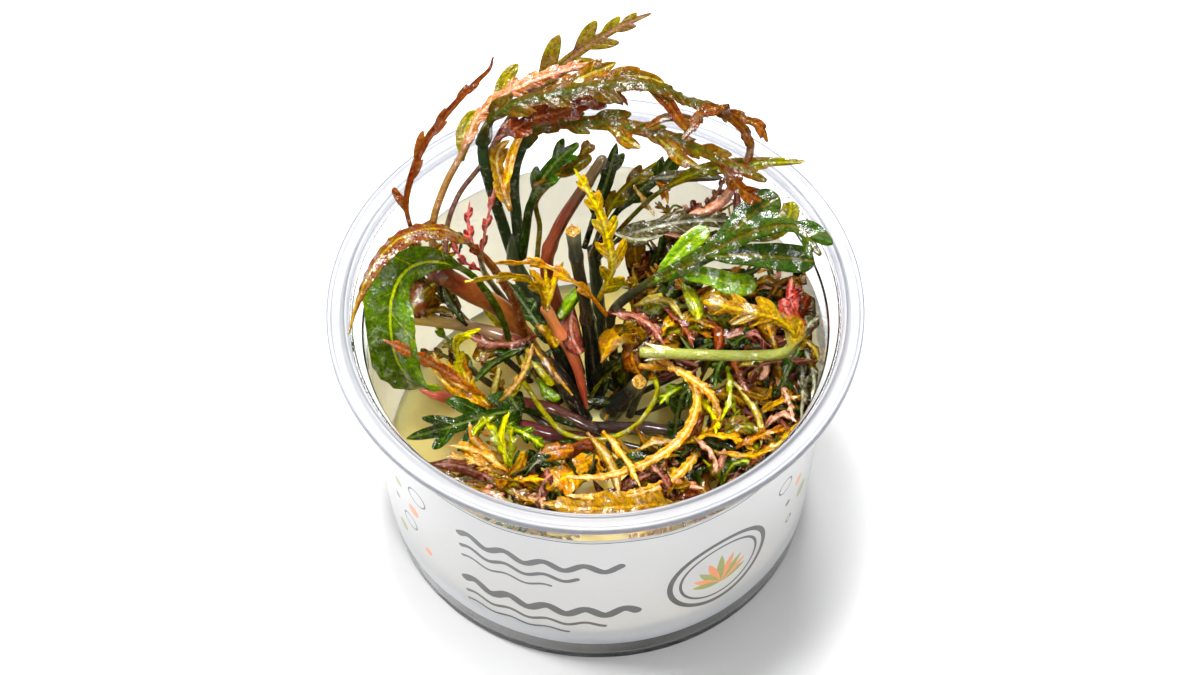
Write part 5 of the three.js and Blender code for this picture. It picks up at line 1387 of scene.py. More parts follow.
LEFT_FRONT_LEAVES = {
    "leaf_salmon_left": leaf("gold_leaf", "gold", 19, FRONT, ((-9.8, 14.8, 39.8), (-10.7, 14.4, 45.6),
        (-14.2, 12.4, 52.4), (-19.2, 9.6, 56), (-24.2, 7, 58)), stalk=0.2, radius=0.4, span=1.8, sweep=1.2,
        lobes=4),
    "leaf_orange_over": leaf("orange_leaf", "orange", 20, FRONT, ((1.1, 13.6, 40), (-1.3, 13.7, 45),
        (-5.1, 14.4, 49), (-9.8, 16.3, 50.8), (-15.1, 16.4, 51.4), (-19.4, 17, 50.4)), stalk=0.2,
        radius=0.4, span=1.5, sweep=1.2, lobes=4),
    "leaf_golden": leaf("gold_leaf", "golden_olive", 21, (0.2, -0.9, 0.4), ((1.3, 16.6, 41.4),
        (3.2, 17.4, 48), (2.7, 19, 53), (1.5, 21.6, 58), (-0.5, 23.8, 62), (-3.6, 27.2, 66)), stalk=0.08,
        radius=0.5, span=3.2, waist=0.3, sweep=1.2, fold=0.15, lobe_bend=0.3,
        lobes=right_lobes((0.05, 3.2, 1.6), (0.25, 3.6, 1.8), (0.48, 2.7, 1.6), (0.7, 1.9, 1.5),
        (0.87, 1.1, 1.2)) + left_lobes((0.14, 2.8, 1.5), (0.33, 2.6, 1.6), (0.52, 2.3, 1.5),
        (0.7, 1.7, 1.4), (0.85, 1.2, 1.2))),
    "leaf_yellow_hook": leaf("gold_leaf", "yellow", 22, ((1, 0, 1), (0.3, -0.5, 0.6)), ((-13.4, 12.7, 28.6),
        (-13, 10.2, 30.6), (-14.1, 7.7, 27.4), (-16.3, 5.4, 23.4), (-19.9, 4.2, 23.4), (-24.2, 5.4, 27.6),
        (-26.5, 7.6, 33), (-25.8, 8.7, 38), (-21.9, 8.5, 41)), stalk=0.6, radius=0.5, span=1.6, sweep=1.2,
        lobes=2),
    "leaf_pink_left": leaf("orange_leaf", "pink_left", 23, TO_VIEWER, ((-20.5, 4.8, 22.4), (-23, 3.8, 27.4),
        (-29.4, 2, 37.4), (-34.8, -3, 49.8), (-39.2, -6, 57.8)), stalk=0.25, radius=0.45, span=1.3,
        waist=0.6, sweep=1.5, lobes=3),
    "leaf_green_low": leaf("green_leaf", "deep_green", 24, (0, -0.4, 1), ((-6.4, 4, 16.6),
        (-10.5, 4.6, 18.4), (-14.8, 3.4, 21.4), (-22.3, -0.6, 24.6), (-29.9, -5, 27), (-36, -8.6, 29.6)),
        stalk=0.3, radius=0.6, span=4.6, waist=0.34, sweep=1.5, fold=0.1, quilt=0.2,
        lobes=left_lobes((0.1, 4.2, 2.2), (0.34, 5, 2.4), (0.62, 3.6, 2.2)) + right_lobes((0.05, 4, 2.4),
        (0.3, 5.2, 2.6), (0.58, 3.6, 2.2))),
    "leaf_green_cut": leaf("green_leaf", "wet_green", 25, FRONT, ((-8.4, 14.8, 27.2), (-11, 16.4, 31.6),
        (-14.2, 18.2, 37.4), (-16.9, 18.8, 42.6)), stalk=0.1, radius=0.5, span=2.4, waist=0.5, sweep=0.9,
        lobes=3),
    "leaf_yellow_low": leaf("gold_leaf", "yellow", 26, (0.3, -0.8, 0.5), ((-15.4, 19.6, 17), (-18, 22, 26),
        (-23, 22.6, 34.6)), stalk=0.1, radius=0.4, span=2.1, lobes=0),
    "leaf_lime_loop": leaf("gold_leaf", "loop", 27, (0, -0.4, 1), ((-13.2, 4.6, 27), (-9.9, 0.6, 24),
        (-6.2, -2.6, 22), (0.5, -4.2, 22), (6.7, -3, 24), (10.6, 0.4, 27), (11.6, 2.6, 28.8),
        (11, 4.4, 30.2)), stalk=0.94, radius=0.5, span=0.6, lobes=0),
}

BIG_FINGER = dict(
    finish="big_finger", face=(-0.2, -0.6, 0.9), stalk=0, radius=0.4, lobes=0, end=0.26, peak=2.0,
    quilt=0.22, fold=0.12, wave=0.1, root=1.2, margin=0.02,
)

BACK_LEAVES = {
    "leaf_olive_curl": leaf("olive_leaf", "olive_brown", 28, TO_VIEWER, ((-10.8, 24.6, 45),
        (-10.4, 26.8, 49), (-11, 28.6, 54), (-8, 29.4, 59), (-4, 30.4, 63), (-0.5, 32.4, 67)), stalk=0.9,
        radius=0.5, span=1.4, lobes=0),
    "leaf_dark_mid": leaf("dark_leaf", "dark", 29, TO_VIEWER, ((-1.4, 29.6, 41), (0.4, 31, 48),
        (2.8, 34, 55), (4.4, 37, 61)), stalk=0.3, radius=0.6, span=2.6, waist=0.5, sweep=1.1, finger=0.5,
        lobes=2),
    "leaf_dark_right": leaf("dark_leaf", "dark", 30, TO_VIEWER, ((1.2, 29.4, 40.6), (4.4, 32.2, 46),
        (9.6, 33.6, 52), (14, 35, 56), (16.2, 36.8, 60)), stalk=0.3, radius=0.6, span=2.6, waist=0.5,
        sweep=1.1, finger=0.5, lobes=2),
    "leaf_olive_mid": leaf("olive_leaf", "olive", 31, TO_VIEWER, ((-0.4, 26.6, 41.4), (1.4, 27.4, 48),
        (4.6, 29.4, 54.6), (8.6, 31, 58.6), (12, 32.4, 61)), stalk=0.4, radius=0.45, span=2.2, sweep=1.2,
        lobes=2),
    "leaf_right_tip": leaf("olive_leaf", "olive", 32, (-0.2, -0.6, 1), ((2.6, 28.6, 41), (7.6, 28.8, 49.6),
        (12.4, 29.4, 55.6), (20.1, 30.4, 60.4), (29.5, 30, 63.4), (39.6, 27.4, 67)), stalk=0.4, radius=0.45,
        span=1.5, waist=0.75, sweep=1.4, end=0.07, lobes=1),
    "leaf_grey_narrow": leaf("olive_leaf", "grey_green", 33, (0, -0.7, 1), ((1.6, 26.4, 40.4),
        (4.8, 26.4, 45), (11, 26.6, 48.2), (20.1, 26.6, 50.4), (28, 24.8, 52.2)), stalk=0.2, radius=0.45,
        span=2.4, waist=0.6, sweep=1.2, wave=0.3, lobes=3),
    "leaf_big_right": leaf("green_leaf", "big_green", 34, ((-0.3, -0.7, 0.8), (-0.1, -0.5, 1)),
        ((4.2, 14.4, PLANTED), (3.2, 14.8, 26), (3.4, 14.8, 37.6), (8.5, 15, 44.4), (16.1, 15.2, 50.4),
        (23.6, 15.8, 56), (31, 15.8, 61.2), (37.4, 14.2, 64.2), (42, 8.4, 63)), stalk=0.44, radius=0.95,
        span=2.2, waist=0.8, sweep=1.5, fold=0.1, quilt=0.2, wave=0.12, rib=0.7, end=0.14,
        lobes=left_lobes((0.86, 3.4, 2.6)) + right_lobes((0.9, 2.4, 2)), more=(
            big_finger(71, 1.9, ((12, 15.2, 47.6), (15, 17.8, 50.3), (18.1, 20.2, 52), (21.7, 22.3, 53.5)),
                finish="lime_green"),
            big_finger(72, 3.1, ((19.8, 14.6, 54), (24.7, 17, 56.7), (29.7, 20.9, 59.5),
                (34.8, 23.6, 61.4))),
            big_finger(73, 2.0, ((29.5, 15.4, 59.2), (34.1, 16.7, 60), (36.7, 19.1, 61.8),
                (36.9, 20.9, 63.1)), finish="olive"),
            big_finger(74, 2.2, ((15.6, 14.8, 49.4), (21, 14, 49.5), (25.9, 12.7, 48.6),
                (30.6, 12.5, 48.4)), finish="lime_green"),
            big_finger(75, 2.7, ((22, 14.4, 55), (28, 14, 55.9), (35.2, 13.6, 55.6), (41.7, 12.9, 55.1))),
        )),
    "leaf_yellow_right": leaf("gold_leaf", "gold_curl", 35, ((0, -0.7, 0.8), (0, -0.6, 0.8)),
        ((10.6, 4.6, 38), (19.7, 2.8, 39.6), (30.4, 0.4, 42.4), (35.8, -1, 45.6), (37.2, -0.4, 49.6),
        (34.6, 1, 52.6), (28.4, 2, 54.4), (20.3, 4, 54.8)), stalk=0.58, radius=1.05, span=3.3, waist=0.45,
        sweep=1.3, fold=-0.35, wave=0.35, lobes=4, more=(
            side_leaf("pale", 81, 0.75, ((15, 3.8, 39.5), (12, 4.8, 39.2), (9.4, 5.9, 39.3)), radius=0.3,
                taper=0.7, end=0.5, root=0),
            side_leaf("pale", 82, 0.75, ((15, 3.5, 38.4), (12, 3.9, 37.6), (9.2, 3.6, 36.8)), radius=0.3,
                taper=0.7, end=0.5, root=0),
        )),
}

FRONT_LEAVES = {
    "leaf_fuzzy_long": leaf("orange_leaf", "fuzzy", 36, (0, -0.5, 1), ((10.3, 5.4, 32.2), (15.9, 3.4, 33.6),
        (19, -1.9, 33), (16.8, -7.6, 29), (10.3, -12.1, 26.4), (1.4, -15.1, 25.6), (-6.2, -15.2, 25.6)),
        stalk=0.1, radius=0.55, span=1.2, waist=0.7, sweep=0.8, fold=0, finger=0.7, round=1.2, lobes=16),
    "leaf_fuzzy_short": leaf("orange_leaf", "fuzzy", 37, (0.4, -0.5, 1), ((12.2, 5, 34.8),
        (17.7, 0.4, 35.6), (21.6, -2.8, 34.4), (23.1, -4.8, 31.4), (23.5, -6.6, 29)), stalk=0.15,
        radius=0.45, span=1.3, waist=0.6, sweep=0.8, fold=0, finger=0.7, round=1.2, lobes=9),
    "leaf_fuzzy_front": leaf("orange_leaf", "fuzzy", 38, (0, -0.5, 1), ((20.4, -4.4, 20.8),
        (19.4, -7, 22.4), (17.2, -11.6, 24), (12.5, -16, 23.8), (4.2, -18.2, 23), (-6.1, -17.4, 22.6)),
        stalk=0.1, radius=0.5, span=1.3, waist=0.7, sweep=0.8, fold=0, finger=0.7, round=1.2, lobes=16),
    "leaf_orange_broad": leaf("orange_leaf", "broad_orange", 39, (-0.2, -0.5, 1),
        ((1.2, 1.6, PLANTED + 0.8), (0.6, -4.6, 18), (-2, -8.6, 20.6), (-5.6, -12, 21.6),
        (-9.8, -15.4, 22)), stalk=0.35, radius=0.5, span=3.6, waist=0.7, sweep=0.6, fold=-0.2, wave=0.4,
        quilt=0.16, lobes=2),
    "leaf_gold_front": leaf("brown_leaf", "gold_brown", 40, ((0, -0.3, 1), (0, -0.5, 1)),
        ((4.8, 0.4, PLANTED + 0.6), (11, -10, 16), (15, -19.6, 22.6), (10.5, -24.4, 29.4), (4.5, -26.6, 32),
        (-3.5, -27.4, 33), (-10.5, -25.6, 32.4)), stalk=0.45, radius=0.5, span=2.8, waist=0.7, sweep=0.7,
        round=3.2, fold=-0.2, curl=0.3, wave=0.6, quilt=0.2, lobe_bend=0.6,
        lobes=left_lobes((0.3, 3.3, 3.4), (0.7, 2.4, 2.6)) + right_lobes((0.22, 2.8, 2.8), (0.55, 3.2, 3.4),
        (0.84, 1.9, 1.8))),
}

SHOOTS = {
    "shoot_pink": shoot("red_leaf", 0.7, 0, 1.2, ("rose", "red", "rose"), ((-12, 24, PLANTED),
        (-17, 26.4, 24), (-21, 25, 36), (-21.8, 21.4, 46)),
        sprig(0.95, FRONT, 1.2, ((-23.2, 21.6, 51), (-23.8, 23.2, 56), (-23.4, 24.4, 60)), lobes=1),
        sprig(0.95, FRONT, 1.0, ((-20.8, 22.8, 52), (-19.4, 24.6, 59), (-18.6, 25.4, 63)), lobes=1),
        sprig(0.75, FRONT, 1, ((-25.2, 22.8, 44), (-27.4, 24.2, 49.5)), lobes=1)),
    "shoot_amber": shoot("orange_leaf", 0.7, 9, 2.0, ("amber", "rust", "gold", "brown"),
        ((-14, 17.4, PLANTED), (-24, 21.4, 24), (-31, 22.4, 38), (-33.6, 21.6, 46)),
        sprig(0.95, FRONT, 2, ((-34.6, 21.4, 50), (-34.8, 21.4, 56.6))),
        sprig(0.95, (0.4, -1, 0.2), 1.8, ((-36.8, 17.4, 47.4), (-38.6, 13.6, 52.6))),
        sprig(0.75, FRONT, 1.6, ((-28.6, 24.2, 42.6), (-26.8, 27.6, 47)))),
    "shoot_orange": shoot("orange_leaf", 0.7, 0, 1.2, ("peach", "peach", "lime", "peach"),
        ((-6.4, -5.6, PLANTED), (-12.4, -10.6, 15.6), (-17, -11.4, 21.6)),
        sprig(0.95, (0, -0.7, 0.8), 2.4, ((-22, -9.6, 23.4), (-28.4, -9.6, 24.6)), lobes=2),
        sprig(0.95, (0.2, -0.7, 0.8), 1.8, ((-18.6, -8.8, 26), (-21.4, -6, 29.6)), lobes=2),
        sprig(0.95, (0.4, -0.7, 0.8), 1.4, ((-16.4, -8.8, 25.6), (-16.4, -5.8, 29.4)), lobes=2),
        sprig(0.95, (0, -0.7, 0.8), 1.6, ((-20.4, -13, 25.4), (-25, -12.4, 28.6)), lobes=2),
        sprig(0.9, (0, -0.7, 0.8), 0.5, ((-14.8, -15, 21), (-13.6, -18.6, 21.8)), stalk=0.9, lobes=0)),
    "shoot_dark_left": shoot("brown_leaf", 0.7, 0, 2.2, ("olive_brown", "lime_green", "straw", "amber",
        "gold"), ((-8, 3.8, PLANTED), (-14, 8.8, 14.4), (-22, 12.2, 19.6), (-27, 12.6, 25)),
        sprig(0.9, TO_VIEWER, 1.3, ((-30.4, 12.4, 28), (-34.6, 10.6, 30.6)), lobes=1),
        sprig(0.7, TO_VIEWER, 1.2, ((-26.8, 16.6, 23), (-31.6, 19.6, 28.4)), lobes=1),
        sprig(0.95, FRONT, 1.1, ((-27.4, 11.6, 30.4), (-29.4, 10.2, 34.4)), lobes=1),
        sprig(0.5, FRONT, 1.4, ((-19.4, 12.2, 21.4), (-22.4, 13.4, 26.2)))),
    "shoot_back_right": shoot("brown_leaf", 0.7, 12, 2.2, ("pink", "brown", "amber", "rust"),
        ((5, 19, PLANTED), (12, 24, 24), (17, 26.4, 36), (17.6, 28.6, 44)),
        sprig(0.95, FRONT, 1.6, ((20.8, 30.2, 48.6), (23.6, 30.6, 54), (25, 31, 58.6))),
        sprig(0.95, FRONT, 1.6, ((14.8, 29.4, 48.4), (11.6, 30.2, 51.4))),
        sprig(0.9, FRONT, 1.6, ((22.6, 27.8, 43.6), (27.4, 27.4, 46))),
        sprig(0.65, FRONT, 2, ((10.8, 25.8, 36), (7.4, 25.2, 38.4)))),
    "shoot_amber_mid": shoot("orange_leaf", 0.65, 12, 2.0, ("amber", "gold", "brown", "rust"),
        ((6.4, 15.2, PLANTED), (8.6, 19.4, 24), (9.6, 21.4, 33)),
        sprig(0.95, FRONT, 2.2, ((11.2, 22, 37.4), (12.6, 22.4, 42.4))),
        sprig(0.95, FRONT, 1.8, ((7, 21.2, 36.6), (5.4, 20.6, 39.4))),
        sprig(0.65, TO_VIEWER, 2, ((14.2, 19.8, 30), (18.6, 19.4, 33)))),
    "shoot_centre_right": shoot("olive_leaf", 0.7, 34, 2.6, ("olive", "amber", "rust", "purple_brown",
        "brown", "lime", "wine"), ((6.4, 10.8, PLANTED), (7, 11.2, 24), (9.6, 11.2, 33)),
        sprig(0.95, TO_VIEWER, 2, ((14.6, 10.6, 36.4), (20.4, 10.4, 38.6))),
        sprig(0.95, FRONT, 1.7, ((8.2, 10.6, 37), (5.8, 10, 40.6))),
        sprig(0.85, TO_VIEWER, 1.8, ((15.6, 11.4, 31.6), (22.4, 12.4, 34.6))),
        sprig(0.65, TO_VIEWER, 1.8, ((12.8, 10.8, 26.6), (18.4, 9.8, 29)))),
    "shoot_far_right": shoot("brown_leaf", 0.7, 34, 2.6, ("brown", "olive", "purple_brown", "rust", "dark",
        "pink"), ((10, 9, PLANTED), (17, 9.4, 17), (27, 9.4, 26), (31, 9.6, 34)),
        sprig(0.95, FRONT, 2.2, ((34.6, 9.4, 39), (36.4, 9.4, 45.6))),
        sprig(0.95, FRONT, 2, ((28.4, 9.4, 40), (24.8, 9.6, 45))),
        sprig(0.8, TO_VIEWER, 2.2, ((33.4, 6.6, 30.4), (37, 3.4, 33.6))),
        sprig(0.65, TO_VIEWER, 2.2, ((27.4, 14.8, 28.6), (27.4, 19.6, 33.6)))),
    "shoot_red": shoot("red_leaf", 0.65, 12, 2.0, ("red", "wine", "pink", "brown"), ((9, 13.4, PLANTED),
        (20, 15.4, 19), (30.6, 15, 30), (36, 11.4, 42.4)),
        sprig(0.95, FRONT, 1.7, ((37.6, 10, 46.4), (37.8, 9.4, 52.6)), lobes=1),
        sprig(0.95, FRONT, 1.6, ((39.2, 8.6, 45), (40.4, 6.4, 49.6))),
        sprig(0.8, FRONT, 1.8, ((35, 15.4, 40.4), (34.4, 17.6, 45.6)))),
    "shoot_right_wall": shoot("olive_leaf", 0.7, 34, 2.4, ("grey_green", "brown", "olive_brown", "dark",
        "rust"), ((8.6, 3.8, PLANTED), (20, 1.4, 15.4), (30.4, -1.6, 22), (35.4, -3.4, 31)),
        sprig(0.95, FRONT, 1.9, ((38.6, -3.6, 35.6), (39.8, -3.4, 40.6))),
        sprig(0.95, TO_VIEWER, 1.7, ((37.6, -7.4, 32.4), (36.8, -12.4, 33.4))),
        sprig(0.8, TO_VIEWER, 1.7, ((35.4, -8.6, 26.4), (34, -13.8, 28))),
        sprig(0.7, TO_VIEWER, 1.9, ((32.2, -8, 21.4), (30.8, -13, 23)))),
    "shoot_right_mid": shoot("green_leaf", 0.65, 36, 2.8, ("lime", "olive", "purple_brown", "amber", "wine",
        "brown"), ((7.4, 0.2, PLANTED), (16, -3.6, 14.6), (25.4, -5.6, 21)),
        sprig(0.95, FRONT, 1.6, ((26.6, -4.4, 26), (25.4, -1.4, 32)), lobes=2),
        sprig(0.95, TO_VIEWER, 1.6, ((28.8, -7.4, 25.4), (31.4, -12.4, 28))),
        sprig(0.95, TO_VIEWER, 2.2, ((26.6, -10.8, 22.2), (25.6, -15.8, 23.6))),
        sprig(0.7, TO_VIEWER, 2.2, ((25, -4.8, 17.6), (29.4, -6.4, 19)))),
    "shoot_front": shoot("brown_leaf", 0.6, 26, 2.6, ("brown", "amber", "purple_brown", "orange", "wine",
        "olive"), ((7.6, -3.6, PLANTED), (12.4, -11.4, 13.4), (16, -19, 16)),
        sprig(0.95, TO_VIEWER, 1.9, ((19.6, -18.6, 20.6), (21.4, -20, 25))),
        sprig(0.9, TO_VIEWER, 2.2, ((10.4, -21, 17.6), (4.6, -23.4, 19))),
        sprig(0.6, TO_VIEWER, 2, ((7.4, -12.6, 15.6), (1.6, -12.8, 16.4)))),
    "shoot_front_left": shoot("green_leaf", 0.6, 26, 2.4, ("deep_green", "olive_brown", "amber", "dark",
        "wine"), ((-3.6, -5.6, PLANTED), (-6.4, -13, 13.6), (-12, -20, 17)),
        sprig(0.95, TO_VIEWER, 2.2, ((-17.6, -19.8, 19.6), (-22.4, -18, 22))),
        sprig(0.95, TO_VIEWER, 2.2, ((-8.4, -23.6, 20), (-3.4, -25.4, 23.4))),
        sprig(0.6, TO_VIEWER, 1.8, ((-3.4, -17.6, 16.2), (0.6, -18, 17.4)))),
}


